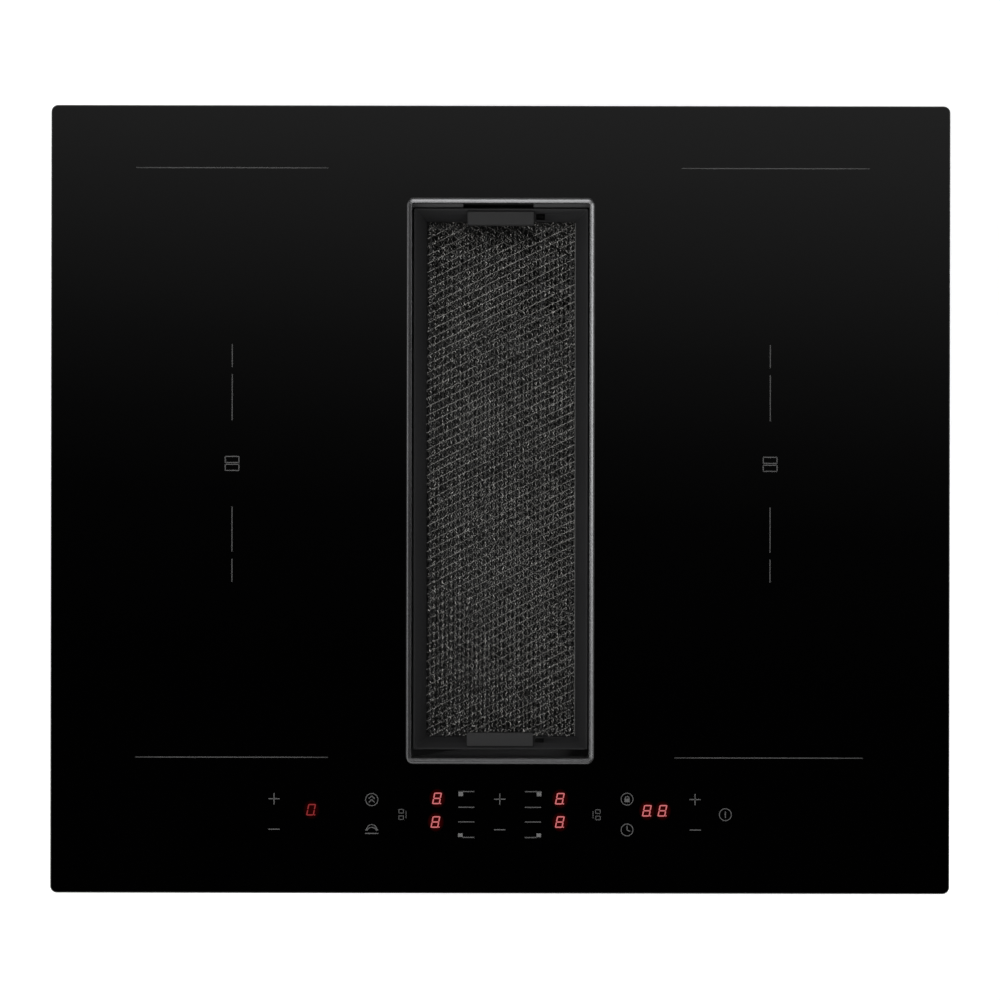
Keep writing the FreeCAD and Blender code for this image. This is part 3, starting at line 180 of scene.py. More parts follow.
def refined(node, material, edge):
    """Merged copy of a solid with its edges broken, in place of the solid."""
    seam_gap = 0.002 * mm
    flat_angle = math.radians(0.6)
    edge_angle = math.radians(35.0)
    shape = bmesh.new()
    shape.from_mesh(solids[node].data)
    bmesh.ops.remove_doubles(shape, verts=shape.verts, dist=seam_gap)
    bmesh.ops.dissolve_limit(shape, angle_limit=flat_angle, verts=shape.verts, edges=shape.edges)
    obj = new_piece(node + "_piece", shape, material)
    bevel = obj.modifiers.new("Edges", "BEVEL")
    bevel.width = edge
    bevel.segments = 2
    bevel.angle_limit = edge_angle
    bevel.harden_normals = True
    baked(obj)
    slot = next(part["material_slot"] for part in record["subparts"] if part["node"] == node)
    body = next(body for body, names in record["behaviour"]["bodies"].items() if node in names)
    mounted(obj, slot, body, node)


zinc_steel = dressed("zinc_steel", zinc_spangle, (0.4, 0.41, 0.42), roughness=0.45,
                     relief=0.01 * mm, Flake_Size=5 * mm, Metallic=1.0)
refined("hob_casing", zinc_steel, edge=0.2 * mm)


# Worktop clamps and screws: the clamps are bent from plated spring strip and bolted under the casing's
# corners. All screws are zinc-plated steel with pan heads, driven from below.

zinc_plate = dressed("zinc_plate", zinc_spangle, (0.5, 0.51, 0.52), roughness=0.32,
                     relief=0.004 * mm, Flake_Size=2 * mm, Metallic=1.0)
refined("fixing_clamps", zinc_plate, edge=0.25 * mm)
refined("screws", zinc_plate, edge=0.35 * mm)


# Extractor: intake duct, plenum, scroll and outlet are injection mouldings with a fine spark-eroded texture.
# The plenum screws under the casing; the scroll hangs below it on the plate that carries the fan's inlet.

moulded, place, grain_scale = finish_group("Moulded plastic", "Grain Size")
grain = noise(moulded, place, grain_scale, detail=1.0)
cloud = noise(moulded, place, scale=14.0, detail=3.0)
tone = sums(moulded, "MULTIPLY", spread(moulded, cloud, 0.92, 1.08), spread(moulded, grain, 0.94, 1.06))
end_finish(moulded, tone, spread(moulded, cloud, 0.92, 1.1), grain)

extractor_plastic = dressed("extractor_plastic", moulded, (0.022, 0.022, 0.023), roughness=0.5,
                            relief=0.03 * mm, Grain_Size=0.7 * mm)
for node in ("intake_duct", "plenum_cover", "scroll_plate", "drain_collar", "fan_scroll", "outlet_spigot"):
    refined(node, extractor_plastic, edge=0.6 * mm)


# Extractor fan: a moulded wheel with forward-curved blades and a front ring, on an outer-rotor motor.
# The rotor is a drawn steel cup on a ground shaft; two ball bearings carry the shaft in the stator.

wheel_plastic = dressed("wheel_plastic", moulded, (0.3, 0.31, 0.32), roughness=0.42,
                        relief=0.01 * mm, Grain_Size=0.5 * mm)
refined("impeller", wheel_plastic, edge=0.15 * mm)
refined("impeller_ring", wheel_plastic, edge=0.3 * mm)

turned, place, line_scale = finish_group("Turned lines", "Line Size")
line_stretch = (0.02, 0.02, 1.0)
drawn_out = put(turned, "ShaderNodeMapping", {"Vector": place, "Scale": line_stretch}).outputs[0]
lines = noise(turned, drawn_out, line_scale)
end_finish(turned, spread(turned, lines, 0.9, 1.06), spread(turned, lines, 0.85, 1.2), lines)


def painted(material, *nodes):
    """Give solids that stay as they are a material."""
    for node in nodes:
        for slot in solids[node].material_slots:
            slot.material = material


drawn_steel = dressed("drawn_steel", turned, (0.42, 0.43, 0.45), roughness=0.34,
                      relief=0.004 * mm, Line_Size=0.4 * mm, Metallic=1.0)
ground_steel = dressed("ground_steel", turned, (0.7, 0.7, 0.71), roughness=0.18,
                       relief=0.002 * mm, Line_Size=0.2 * mm, Metallic=1.0)
refined("motor_rotor", drawn_steel, edge=0.4 * mm)
painted(drawn_steel, "motor_stator")
painted(ground_steel, "motor_shaft", "motor_bearings")


# Overflow tray: a moulded drawer of dark plastic for what boils over and runs down through the filter.
# It pushes up over the drain collar and is pulled off downwards by its grip.

tray_plastic = dressed("tray_plastic", moulded, (0.03, 0.03, 0.032), roughness=0.38,
                       relief=0.012 * mm, Grain_Size=0.5 * mm)
refined("overflow_tray", tray_plastic, edge=0.5 * mm)
refined("overflow_base", tray_plastic, edge=0.8 * mm)


# Electrical boxes: the fan's control box and the terminal box are moulded in flame-retardant plastic and
# closed from below by lids. The mains lead enters the terminal box through a clamping gland.

box_plastic = dressed("box_plastic", moulded, (0.08, 0.08, 0.085), roughness=0.46,
                      relief=0.025 * mm, Grain_Size=0.6 * mm)
for node in ("fan_control_box", "fan_control_lid", "terminal_box", "terminal_lid", "cable_gland"):
    refined(node, box_plastic, edge=0.5 * mm)
terminal_cream = dressed("terminal_cream", moulded, (0.72, 0.7, 0.62), roughness=0.4,
                         relief=0.01 * mm, Grain_Size=0.5 * mm)
painted(terminal_cream, "terminal_block")


# Power electronics, one set for each side: a green board with its parts and an extruded heat sink, on posts
# of the casing's floor, and in front of it a cooling fan that draws air through the slots in that floor.

etched, place, track_scale = finish_group("Etched board", "Track Size")
cells = put(etched, "ShaderNodeTexVoronoi", {"Vector": place, "Scale": track_scale}, distance="CHEBYCHEV")
copper = spread(etched, cells.outputs["Distance"], 0.75, 1.35, 0.3, 0.36)
end_finish(etched, copper, copper, copper)

board_green = dressed("board_green", etched, (0.05, 0.2, 0.09), roughness=0.4,
                      relief=0.03 * mm, Track_Size=4 * mm)
part_cases = dressed("part_cases", moulded, (0.12, 0.12, 0.35), roughness=0.35,
                     relief=0.01 * mm, Grain_Size=0.4 * mm)
extruded = dressed("extruded_aluminium", turned, (0.7, 0.71, 0.72), roughness=0.36,
                   relief=0.005 * mm, Line_Size=0.5 * mm, Metallic=1.0)
fan_plastic = dressed("fan_plastic", moulded, (0.035, 0.035, 0.037), roughness=0.42,
                      relief=0.015 * mm, Grain_Size=0.5 * mm)
for side in ("_left", "_right"):
    painted(board_green, "power_board" + side)
    painted(part_cases, "power_components" + side)
    painted(extruded, "heat_sink" + side)
    painted(fan_plastic, "cooling_fan_frame" + side, "cooling_fan_rotor" + side)


# Induction coils: flat spirals of enamelled stranded copper in moulded formers, over ferrite bars in an
# aluminium tray, under a mica sheet, with a glazed temperature sensor in each middle.

stranded, place, strand_scale = finish_group("Stranded wire", "Strand Size")
plugs = {"Vector": place, "Scale": strand_scale, "Distortion": 1.5}
strands = put(stranded, "ShaderNodeTexWave", plugs, bands_direction="DIAGONAL").outputs[0]
tone = spread(stranded, strands, 0.7, 1.15, 0.0, 1.0)
end_finish(stranded, tone, spread(stranded, strands, 1.15, 0.85, 0.0, 1.0), strands)

copper_wire = dressed("copper_wire", stranded, (0.62, 0.33, 0.17), roughness=0.32,
                      relief=0.1 * mm, Strand_Size=6 * mm, Metallic=1.0)
former_plastic = dressed("former_plastic", moulded, (0.65, 0.62, 0.55), roughness=0.5,
                         relief=0.02 * mm, Grain_Size=0.6 * mm)
ferrite = dressed("ferrite", moulded, (0.07, 0.07, 0.075), roughness=0.62,
                  relief=0.03 * mm, Grain_Size=0.3 * mm)
mill_aluminium = dressed("mill_aluminium", turned, (0.75, 0.76, 0.77), roughness=0.32,
                         relief=0.004 * mm, Line_Size=0.5 * mm, Metallic=1.0)
mica = dressed("mica", zinc_spangle, (0.68, 0.6, 0.45), roughness=0.55,
               relief=0.01 * mm, Flake_Size=4 * mm)
glazed_white = dressed("glazed_white", moulded, (0.82, 0.82, 0.8), roughness=0.2,
                       relief=0.004 * mm, Grain_Size=1.0 * mm)
painted(glazed_white, "coil_sensors")
for side in ("_left", "_right"):
    painted(copper_wire, "coil_front" + side, "coil_rear" + side)
    painted(former_plastic, "coil_formers" + side)
    painted(ferrite, "ferrite_bars" + side)
    painted(mill_aluminium, "coil_tray" + side)
    painted(mica, "mica_sheet" + side)


# Touch control: an etched board on a moulded carrier, which stands on legs in the front of the casing. Foam
# pads, which feel a finger through the glass, and red display modules on the board reach up to the glass.

carrier_plastic = dressed("carrier_plastic", moulded, (0.55, 0.55, 0.53), roughness=0.45,
                          relief=0.015 * mm, Grain_Size=0.6 * mm)
touch_foam = dressed("touch_foam", moulded, (0.1, 0.1, 0.11), roughness=0.8,
                     relief=0.1 * mm, Grain_Size=0.5 * mm)
display_red = dressed("display_red", moulded, (0.16, 0.01, 0.01), roughness=0.2,
                      relief=0.002 * mm, Grain_Size=0.8 * mm)
painted(board_green, "control_board")
painted(carrier_plastic, "control_carrier")
painted(touch_foam, "touch_pads")
painted(display_red, "digit_displays")


# Glass top: a pane of black glass-ceramic, ground and polished round its edge, with the slot for the
# extractor cut through it. A bead of silicone bonds the casing under it and a foam strip seals it on the
# worktop.

seal_foam = dressed("seal_foam", moulded, (0.05, 0.05, 0.05), roughness=0.85,
                    relief=0.08 * mm, Grain_Size=0.5 * mm)
silicone = dressed("silicone", moulded, (0.09, 0.09, 0.09), roughness=0.55,
                   relief=0.02 * mm, Grain_Size=1.5 * mm)
refined("worktop_seal", seal_foam, edge=0.3 * mm)
painted(seal_foam, "trim_seal")
painted(silicone, "glass_adhesive")

polished, place, smear_scale = finish_group("Polished glass", "Smear Size")
smear = noise(polished, place, smear_scale, detail=3.0)
end_finish(polished, spread(polished, smear, 0.8, 1.2), spread(polished, smear, 0.7, 1.3), smear)

glass_black = (0.0002, 0.0002, 0.00025)
glass_roughness = 0.03
black_glass = dressed("black_glass", polished, glass_black, roughness=glass_roughness,
                      relief=0.0, Smear_Size=90 * mm, IOR=1.5)
refined("glass_top", black_glass, edge=0.15 * mm)
glass_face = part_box("glass_top")[1].z


# Printed marks: fine grey ceramic ink fired onto the glass. Long lines and dashes show the cooking zones,
# and the signs at the front show where to touch. All places are in millimetres from the middle of the glass.

film_half = 0.02 * mm
line_width = 0.66
thin_width = 0.5
arc_width = line_width * 0.8
ink_shape = bmesh.new()
ink_tone = ink_shape.verts.layers.float.new("ink")


def walled(shape, first, second):
    """Band of faces between two rings of points."""
    for index in range(len(first)):
        shape.faces.new((first[index - 1], first[index], second[index], second[index - 1]))


def film(shape, layer, outline, tones):
    """Closed film over a flat outline on the glass, with one tone for each point."""
    levels = []
    for height in (glass_face - film_half, glass_face + film_half):
        levels.append([shape.verts.new((x * mm, y * mm, height)) for x, y in outline])
        for vert, tone in zip(levels[-1], tones):
            vert[layer] = tone
    below, above = levels
    shape.faces.new(above)
    shape.faces.new(below[::-1])
    walled(shape, below, above)


def ink_line(start, end, tones=(1.0, 1.0), width=line_width):
    """Straight stroke between two points; its tone runs from the first to the second value."""
    start, end = Vector(start), Vector(end)
    aside = (end - start).normalized().orthogonal() * width / 2
    outline = (start + aside, end + aside, end - aside, start - aside)
    film(ink_shape, ink_tone, outline, (tones[0], tones[1], tones[1], tones[0]))


def ink_box(x, y, half_width, half_depth, tone, width):
    """Rectangle of four strokes round a point."""
    left, right, front, rear = x - half_width, x + half_width, y - half_depth, y + half_depth
    corners = [(left, front), (right, front), (right, rear), (left, rear)]
    for start, end in zip(corners, corners[1:] + corners[:1]):
        ink_line(start, end, (tone, tone), width)


def arc_points(centre, radius, begin, finish, steps):
    """Points along an arc; angles are in degrees."""
    angles = [math.radians(begin + (finish - begin) * step / steps) for step in range(steps + 1)]
    return [(centre[0] + radius * math.cos(a), centre[1] + radius * math.sin(a)) for a in angles]


def ink_arc(centre, radius, begin, finish):
    """Round stroke from one angle to another, in degrees."""
    step_angle = 9
    steps = max(4, round(abs(finish - begin) / step_angle))
    outer = arc_points(centre, radius + arc_width / 2, begin, finish, steps)
    inner = arc_points(centre, radius - arc_width / 2, begin, finish, steps)
    film(ink_shape, ink_tone, outer + inner[::-1], [1.0] * 2 * len(outer))


def ink_ring(centre, radius):
    """Round outline of a sign."""
    ink_arc(centre, radius, 0, 180)
    ink_arc(centre, radius, 180, 360)


# Lines along the front and rear of the cooking zones, which fade out towards their ends
zone_tone = 0.6
sign_tone = 0.8
left_end_tone = 0.25
right_end_tone = 0.3
fade_length = 22.0
zone_lines = ((-239.2, -112.9, 217.4), (118.5, 242.1, 217.4),
              (-239.2, -112.9, -169.3), (114.5, 238.1, -169.3))
for left, right, y in zone_lines:
    ink_line((left, y), (left + fade_length, y), (left_end_tone, zone_tone))
    ink_line((left + fade_length, y), (right - fade_length, y), (zone_tone, zone_tone))
    ink_line((right - fade_length, y), (right, y), (zone_tone, right_end_tone))

# Dashes down the middle of each pair of zones, and the sign that they can be joined
zone_middles = (-176.0, 177.0)
zone_dashes = ((101.7, 86.6), (81.9, 51.7), (-4.9, -34.5), (-39.1, -54.2))
joined_areas = (26.0, 20.8)
for x in zone_middles:
    for rear, front in zone_dashes:
        ink_line((x, rear), (x, front), (zone_tone, zone_tone))
    for y in joined_areas:
        ink_box(x, y, half_width=4.5, half_depth=2.0, tone=sign_tone, width=line_width)

# Plus and minus signs
arm = 3.7
plus_signs = ((-148.1, -196.5), (0.0, -196.6), (128.1, -196.6))
minus_signs = ((-148.1, -216.5), (0.0, -216.6), (128.3, -216.6))
for x, y in plus_signs:
    ink_line((x - arm, y), (x + arm, y))
    ink_line((x, y - arm), (x, y + arm))
for x, y in minus_signs:
    ink_line((x - arm, y), (x + arm, y))

# Two chevrons in a ring, and a pot with its lid below them
chevron_x = -84.0
chevron_half = 1.9
ink_ring((chevron_x, -197.0), radius=4.0)
for y in (-198.8, -196.4):
    ink_line((chevron_x - chevron_half, y), (chevron_x, y + chevron_half))
    ink_line((chevron_x, y + chevron_half), (chevron_x + chevron_half, y))

pot_x = -84.0
pot_base = -219.2
pot_half = 4.4
lid_radius = 3.4
ink_arc((pot_x, pot_base + 0.6), lid_radius, 20, 160)
ink_arc((pot_x, pot_base + 2.4), lid_radius, 35, 145)
ink_line((pot_x - pot_half, pot_base), (pot_x + pot_half, pot_base))
for side in (-1, 1):
    ink_line((pot_x + side * 4.0, pot_base + 2.0), (pot_x + side * 2.6, pot_base + 4.2))

# Small signs for joining the zones of a side
join_y = -206.7
area_shift = 2.1
bar_shift = 3.2
bar_half = 2.4
for x, side in ((-64.7, 1), (64.4, -1)):
    for y in (join_y + area_shift, join_y - area_shift):
        ink_box(x, y, half_width=1.5, half_depth=1.2, tone=sign_tone, width=thin_width)
    bar_x = x + side * bar_shift
    ink_line((bar_x, join_y - bar_half), (bar_x, join_y + bar_half), (zone_tone, zone_tone), thin_width)

# Dots and short lines in the middle, beside the digits
dot_half = 1.5
dot_tone = 1.6
zone_dots = ((-25.6, -193.1), (-25.8, -220.5), (25.8, -193.1), (25.6, -220.5))
for x, y in zone_dots:
    left, right, front, rear = x - dot_half, x + dot_half, y - dot_half, y + dot_half
    film(ink_shape, ink_tone, [(left, front), (right, front), (right, rear), (left, rear)], [dot_tone] * 4)
area_columns = ((-27.3, -16.7), (16.5, 27.1))
area_rows = (-191.6, -201.9, -211.5, -221.7)
for y in area_rows:
    for left, right in area_columns:
        ink_line((left, y), (right, y), (sign_tone, sign_tone))

# Lock, clock, and on and off, each in a ring
ring_radius = 3.9
lock_x, lock_y = 83.5, -196.4
lock_half = 1.7
ink_ring((lock_x, lock_y), ring_radius)
ink_line((lock_x - lock_half, lock_y - 0.8), (lock_x + lock_half, lock_y - 0.8), width=2.4)
ink_arc((lock_x, lock_y + 0.4), 1.3, 0, 180)
clock_x, clock_y = 83.5, -216.6
ink_ring((clock_x, clock_y), ring_radius)
ink_line((clock_x, clock_y), (clock_x, clock_y + 2.7))
ink_line((clock_x, clock_y), (clock_x + 2.1, clock_y - 1.0))
power_x, power_y = 148.0, -206.5
power_half = 2.1
ink_ring((power_x, power_y), ring_radius)
ink_line((power_x, power_y + power_half), (power_x, power_y - power_half))

# Ink: the tone of each point, with a fine speckle
ink_share = 0.1
printed_ink = bpy.data.materials.new("printed_ink")
printed_ink.use_nodes = True
tree = printed_ink.node_tree
shader = tree.nodes["Principled BSDF"]
tone = put(tree, "ShaderNodeAttribute", attribute_name="ink").outputs["Fac"]
speckle = noise(tree, put(tree, "ShaderNodeTexCoord").outputs["Object"], scale=3000.0)
shade = sums(tree, "MULTIPLY", sums(tree, "MULTIPLY", tone, ink_share), spread(tree, speckle, 0.93, 1.07))
grey = put(tree, "ShaderNodeCombineColor", {0: shade, 1: shade, 2: shade}).outputs[0]
tree.links.new(grey, shader.inputs["Base Color"])
tree.links.new(spread(tree, speckle, 0.45, 0.6), shader.inputs["Roughness"])
bmesh.ops.recalc_face_normals(ink_shape, faces=ink_shape.faces)
mounted(new_piece("printed_marks", ink_shape, printed_ink), "black_glass", "cooktop")


# Digits: seven-segment lamps of the display modules under the glass, which glow red through it. Each stands
# in a faint red halo, a painted glow on a thin film for the little light that the glass scatters.
# The leftmost one is dimmed.

digit_height = 7.6
halo_reach = (5.6, 6.6)
halo_half = 0.008 * mm
halo_spokes = 18
lamp_shape = bmesh.new()
lamp_tone = lamp_shape.verts.layers.float.new("glow")


def digit(centre, lit, level):
    """Slanted seven-segment digit with its point; lit names the segments that glow."""
    slant = 0.2
    half = digit_height / 2
    right = digit_height * 0.57 / 2
    left = -right
    bar = digit_height * 0.105
    setback = bar / 2 + digit_height * 0.012
    spans = {"a": ((left, half), (right, half)), "g": ((left, 0.0), (right, 0.0)),
             "d": ((left, -half), (right, -half)), "f": ((left, half), (left, 0.0)),
             "e": ((left, 0.0), (left, -half)), "b": ((right, half), (right, 0.0)),
             "c": ((right, 0.0), (right, -half))}
    insets = {"a": -bar / 2, "d": bar / 2}
    outlines = []
    for name in lit:
        start, end = (Vector(point) for point in spans[name])
        inset = Vector((0.0, insets.get(name, 0.0)))
        along = (end - start).normalized()
        tip = along * bar / 2
        aside = along.orthogonal() * bar / 2
        start = start + along * setback + inset
        end = end - along * setback + inset
        outlines.append((start - tip, start - aside, end - aside, end + tip, end + aside, start + aside))
    point_place = (right + bar * 1.1, -half + bar / 2)
    outlines.append(arc_points(point_place, bar * 0.55, 0, 300, 5))
    for outline in outlines:
        slanted = [(centre[0] + x + y * slant, centre[1] + y) for x, y in outline]
        film(lamp_shape, lamp_tone, slanted, [level] * len(slanted))


def halo(centre, level):
    """Closed film under a digit with a painted glow that fades from the middle outwards."""
    angles = [math.radians(360 / halo_spokes * spoke) for spoke in range(halo_spokes)]
    films = []
    for height in (glass_face - halo_half, glass_face + halo_half):
        middle = lamp_shape.verts.new((centre[0] * mm, centre[1] * mm, height))
        middle[lamp_tone] = level
        rings = []
        for share, strength in ((0.6, 0.6), (1.0, 0.0)):
            reach_x, reach_y = share * halo_reach[0], share * halo_reach[1]
            places = [(centre[0] + reach_x * math.cos(a), centre[1] + reach_y * math.sin(a)) for a in angles]
            rings.append([lamp_shape.verts.new((x * mm, y * mm, height)) for x, y in places])
            for vert in rings[-1]:
                vert[lamp_tone] = level * strength
        films.append((middle, *rings))
    for middle, inner, outer in films:
        for index in range(halo_spokes):
            lamp_shape.faces.new((middle, inner[index - 1], inner[index]))
            lamp_shape.faces.new((inner[index - 1], outer[index - 1], outer[index], inner[index]))
    walled(lamp_shape, films[0][2], films[1][2])


digit_shift = -0.6
halo_shift = -0.4
bright_places = ((-40.6, -196.1), (-41.6, -211.6), (40.0, -196.2),
                 (40.0, -211.5), (97.1, -204.0), (107.3, -204.0))
dim_place = (-123.2, -203.7)
for x, y in bright_places:
    digit((x + digit_shift, y), lit="abcdefg", level=1.0)
    halo((x + halo_shift, y), level=0.06)
digit((dim_place[0] + digit_shift, dim_place[1]), lit="abcdef", level=0.4)
halo((dim_place[0] + halo_shift, dim_place[1]), level=0.03)

glow_red, glow_green, glow_blue = 0.66, 0.17, 0.18
digit_glow = bpy.data.materials.new("digit_glow")
digit_glow.use_nodes = True
tree = digit_glow.node_tree
shader = tree.nodes["Principled BSDF"]
shader.inputs["Base Color"].default_value = (*glass_black, 1.0)
shader.inputs["Roughness"].default_value = glass_roughness
shader.inputs["Emission Strength"].default_value = 1.0
level = put(tree, "ShaderNodeAttribute", attribute_name="glow").outputs["Fac"]
pale = sums(tree, "MULTIPLY", level, level)
glow = put(tree, "ShaderNodeCombineColor", {0: sums(tree, "MULTIPLY", level, glow_red),
                                            1: sums(tree, "MULTIPLY", pale, glow_green),
                                            2: sums(tree, "MULTIPLY", pale, glow_blue)}).outputs[0]
tree.links.new(glow, shader.inputs["Emission Color"])
bmesh.ops.recalc_face_normals(lamp_shape, faces=lamp_shape.faces)
mounted(new_piece("lit_digits", lamp_shape, digit_glow), "display_red", "cooktop")


# Intake trim: a frame of extruded aluminium, mitred at the corners, anodised dark with a fine satin grain.
# Its collar stands in the slot of the glass and its lip rests on the glass on a thin seal. A ledge in two
# parts stands inside the collar's rear.

def moulding(half_width, half_depth, corner, centre, profile, growth=1.0, steps=6, squeeze=1.0):
    """Closed bar that follows a rounded rectangle; profile points are distance outwards and height.
    Corners grow with that distance, or are mitred without growth. A squeeze narrows front and rear."""
    seam_gap = 0.001 * mm
    shape = bmesh.new()
    rings = []
    for out, height in profile:
        ring = []
        radius = corner + growth * out
        for turn, (across, along) in enumerate(((1, 1), (-1, 1), (-1, -1), (1, -1))):
            for step in range(steps + 1):
                angle = math.radians(90 * (turn + step / steps))
                x = centre[0] + across * (half_width + out - radius) + radius * math.cos(angle)
                y = centre[1] + along * (half_depth + out * squeeze - radius) + radius * math.sin(angle)
                ring.append(shape.verts.new((x * mm, y * mm, height * mm)))
        rings.append(ring)
    for inner, outer in zip(rings, rings[1:] + rings[:1]):
        walled(shape, inner, outer)
    bmesh.ops.remove_doubles(shape, verts=shape.verts, dist=seam_gap)
    bmesh.ops.recalc_face_normals(shape, faces=shape.faces)
    return shape


def straight_bars(*bars):
    """Closed straight bars; each is given by the points of its two ends, in millimetres."""
    shape = bmesh.new()
    for bar in bars:
        first, second = ([shape.verts.new([size * mm for size in point]) for point in end] for end in bar)
        shape.faces.new(first)
        shape.faces.new(second[::-1])
        walled(shape, second, first)
    bmesh.ops.recalc_face_normals(shape, faces=shape.faces)
    return shape


trim_half_width = 58.2
trim_half_depth = 181.75
trim_middle = (0.0, 12.25)
trim_corner = 1.2
moulding_crease = 40.0
lip_foot = 6.5
lip_edge = 10.3
lip_width = 3.5
inner_round = 0.15
outer_round = 1.5
lip_profile = [(0.0, lip_foot), (0.0, lip_edge)]
lip_profile += arc_points((inner_round, lip_edge), inner_round, 160, 83, 3)
lip_profile += arc_points((lip_width - outer_round, 8.6), outer_round, 82, 0, 12)
lip_profile += [(lip_width, lip_foot)]
lip_shape = moulding(trim_half_width, trim_half_depth, trim_corner, trim_middle, lip_profile)
satin_metal = dressed("satin_metal", moulded, (0.13, 0.13, 0.133), roughness=0.24,
                      relief=0.03 * mm, Grain_Size=0.35 * mm, Metallic=0.95)
lip = new_piece("intake_trim_lip", lip_shape, satin_metal, moulding_crease)
mounted(lip, "trim_metal", "cooktop", "intake_trim")

collar_foot = -6.0
collar_wall = 1.2
collar_profile = [(0.0, lip_foot), (0.0, collar_foot), (collar_wall, collar_foot), (collar_wall, lip_foot)]
collar_shape = moulding(trim_half_width, trim_half_depth, trim_corner, trim_middle, collar_profile)
collar_paint = dressed("collar_paint", moulded, (0.04, 0.04, 0.041), roughness=0.55,
                       relief=0.02 * mm, Grain_Size=0.5 * mm)
collar = new_piece("intake_trim_collar", collar_shape, collar_paint, moulding_crease)
mounted(collar, "trim_metal", "cooktop")

ledge_profile = ((191.8, 4.2), (192.0, 4.6), (194.0, 6.2), (194.0, -4.0), (191.8, -4.0))
ledge_spans = ((-trim_half_width, -24.6), (21.6, trim_half_width))
ledges = [[[(x, y, z) for y, z in ledge_profile] for x in span] for span in ledge_spans]
ledge = new_piece("intake_trim_ledge", straight_bars(*ledges), collar_paint)
mounted(ledge, "trim_metal", "cooktop")


# Filter cassette: a moulded black frame with sloping sides and two latch slots, which lifts out by two finger
# tabs. It holds a pack of one expanded and three knitted metal layers on a stamped grid, and a thin metal
# strip holds the pack down along the right.

cassette_middle = (0.3, 13.5)
mesh_half_width = 48.7
mesh_half_depth = 170.3
frame_corner = 0.8
frame_profile = [(0.8, -21.0), (-3.0, -21.0), (-3.0, -22.5), (1.6, -22.5)]
frame_profile += [(1.6, -13.5), (8.5, 2.5), (8.5, 4.7)]
frame_profile += arc_points((8.2, 4.7), 0.3, 30, 140, 4)
frame_profile += [(6.6, 2.2), (4.4, -2.4), (2.6, -6.8), (1.45, -10.6), (0.9, -13.0), (0.8, -14.0)]
frame_shape = moulding(mesh_half_width, mesh_half_depth, frame_corner, cassette_middle, frame_profile,
                       growth=0.0, steps=2, squeeze=0.85)
frame_plastic = dressed("frame_plastic", moulded, (0.021, 0.021, 0.022), roughness=0.65,
                        relief=0.02 * mm, Grain_Size=0.5 * mm, Specular_IOR_Level=0.3)
frame_moulding = new_piece("filter_frame_moulding", frame_shape, frame_plastic, moulding_crease)

slot_size = Vector((5.8, 5.6, 20.0)) * mm
slot_x = 26.2
slot_level = -2.0
slot_shape = bmesh.new()
for y in (-157.6, 185.7):
    slot_place = Matrix.LocRotScale(Vector((slot_x, y, slot_level)) * mm, None, slot_size)
    bmesh.ops.create_cube(slot_shape, size=1.0, matrix=slot_place)
latch_slots = new_piece("latch_slots", slot_shape, frame_plastic)
cut = frame_moulding.modifiers.new("Latch slots", "BOOLEAN")
cut.object = latch_slots
baked(frame_moulding)
bpy.data.objects.remove(latch_slots)
mounted(frame_moulding, "filter_frame_black", "filter_cassette", "filter_frame")

tab_plastic = dressed("tab_plastic", moulded, (0.015, 0.015, 0.0155), roughness=0.6,
                      relief=0.03 * mm, Grain_Size=0.5 * mm, Specular_IOR_Level=0.4)
for node in ("filter_handle_front", "filter_handle_rear"):
    refined(node, tab_plastic, edge=1.0 * mm)

strip_x = cassette_middle[0] + mesh_half_width
strip_profile = ((0.79, -12.95), (0.4, -13.4), (0.4, -19.0), (0.79, -19.0))
strip_ends = [[(strip_x + x, y, z) for x, z in strip_profile]
              for y in (cassette_middle[1] - mesh_half_depth, cassette_middle[1] + mesh_half_depth)]
strip_metal = dressed("strip_metal", moulded, (0.2, 0.2, 0.2), roughness=0.4,
                      relief=0.01 * mm, Grain_Size=0.4 * mm, Metallic=0.3)
strip = new_piece("mesh_edge_strip", straight_bars(strip_ends), strip_metal)
mounted(strip, "mesh_metal", "filter_cassette")

stamped_metal = dressed("stamped_metal", turned, (0.05, 0.05, 0.052), roughness=0.45,
                        relief=0.004 * mm, Line_Size=0.4 * mm, Metallic=1.0)
painted(stamped_metal, "filter_grid")

mesh_metal = dressed("mesh_metal", moulded, (0.15, 0.147, 0.14), roughness=0.2,
                     relief=0.06 * mm, Grain_Size=0.4 * mm, Metallic=0.95)
# Painted shade: a far darker copy of the mesh metal for the lowest layer, standing for the shade of the
# layers above
painted_shade_metal = dressed("painted_shade_metal", moulded, (0.015, 0.0147, 0.014), roughness=0.4,
                       relief=0.02 * mm, Grain_Size=0.4 * mm, Metallic=0.95)
pack_width = 98.4 * mm
pack_depth = 341.0 * mm
expanded_sizes = {"Length": pack_width, "Breadth": pack_depth, "Long Pitch": 11.3 * mm,
                  "Short Pitch": 5.62 * mm, "Steps": 8.0, "Strand Width": 0.4 * mm,
                  "Strand Thickness": 0.2 * mm, "Tilt": -0.6, "Swing": 0.85, "Skew": 0.5, "Bond": 1.333,
                  "Lift": 0.0, "Lean": 0.0, "Twist": 0.0, "Unevenness": 0.15 * mm, "Drift": 0.3 * mm,
                  "Shift": 0.0, "Offset": 0.0, "Level": 0.0, "Turn": 0.0, "Seed": 1.0}
mesh_tree = bpy.data.node_groups.new("Expanded metal layer", "GeometryNodeTree")
mesh_tree.interface.new_socket("Geometry", in_out="OUTPUT", socket_type="NodeSocketGeometry")
kinds = dict.fromkeys(expanded_sizes, "NodeSocketFloat") | {"Material": "NodeSocketMaterial"}
sockets = {name: mesh_tree.interface.new_socket(name, in_out="INPUT", socket_type=kind).identifier
           for name, kind in kinds.items()}
given = put(mesh_tree, "NodeGroupInput").outputs


def made(kind, plugs=None, **settings):
    """First output of a new node in the tree of the mesh layers."""
    return put(mesh_tree, kind, plugs, **settings).outputs[0]


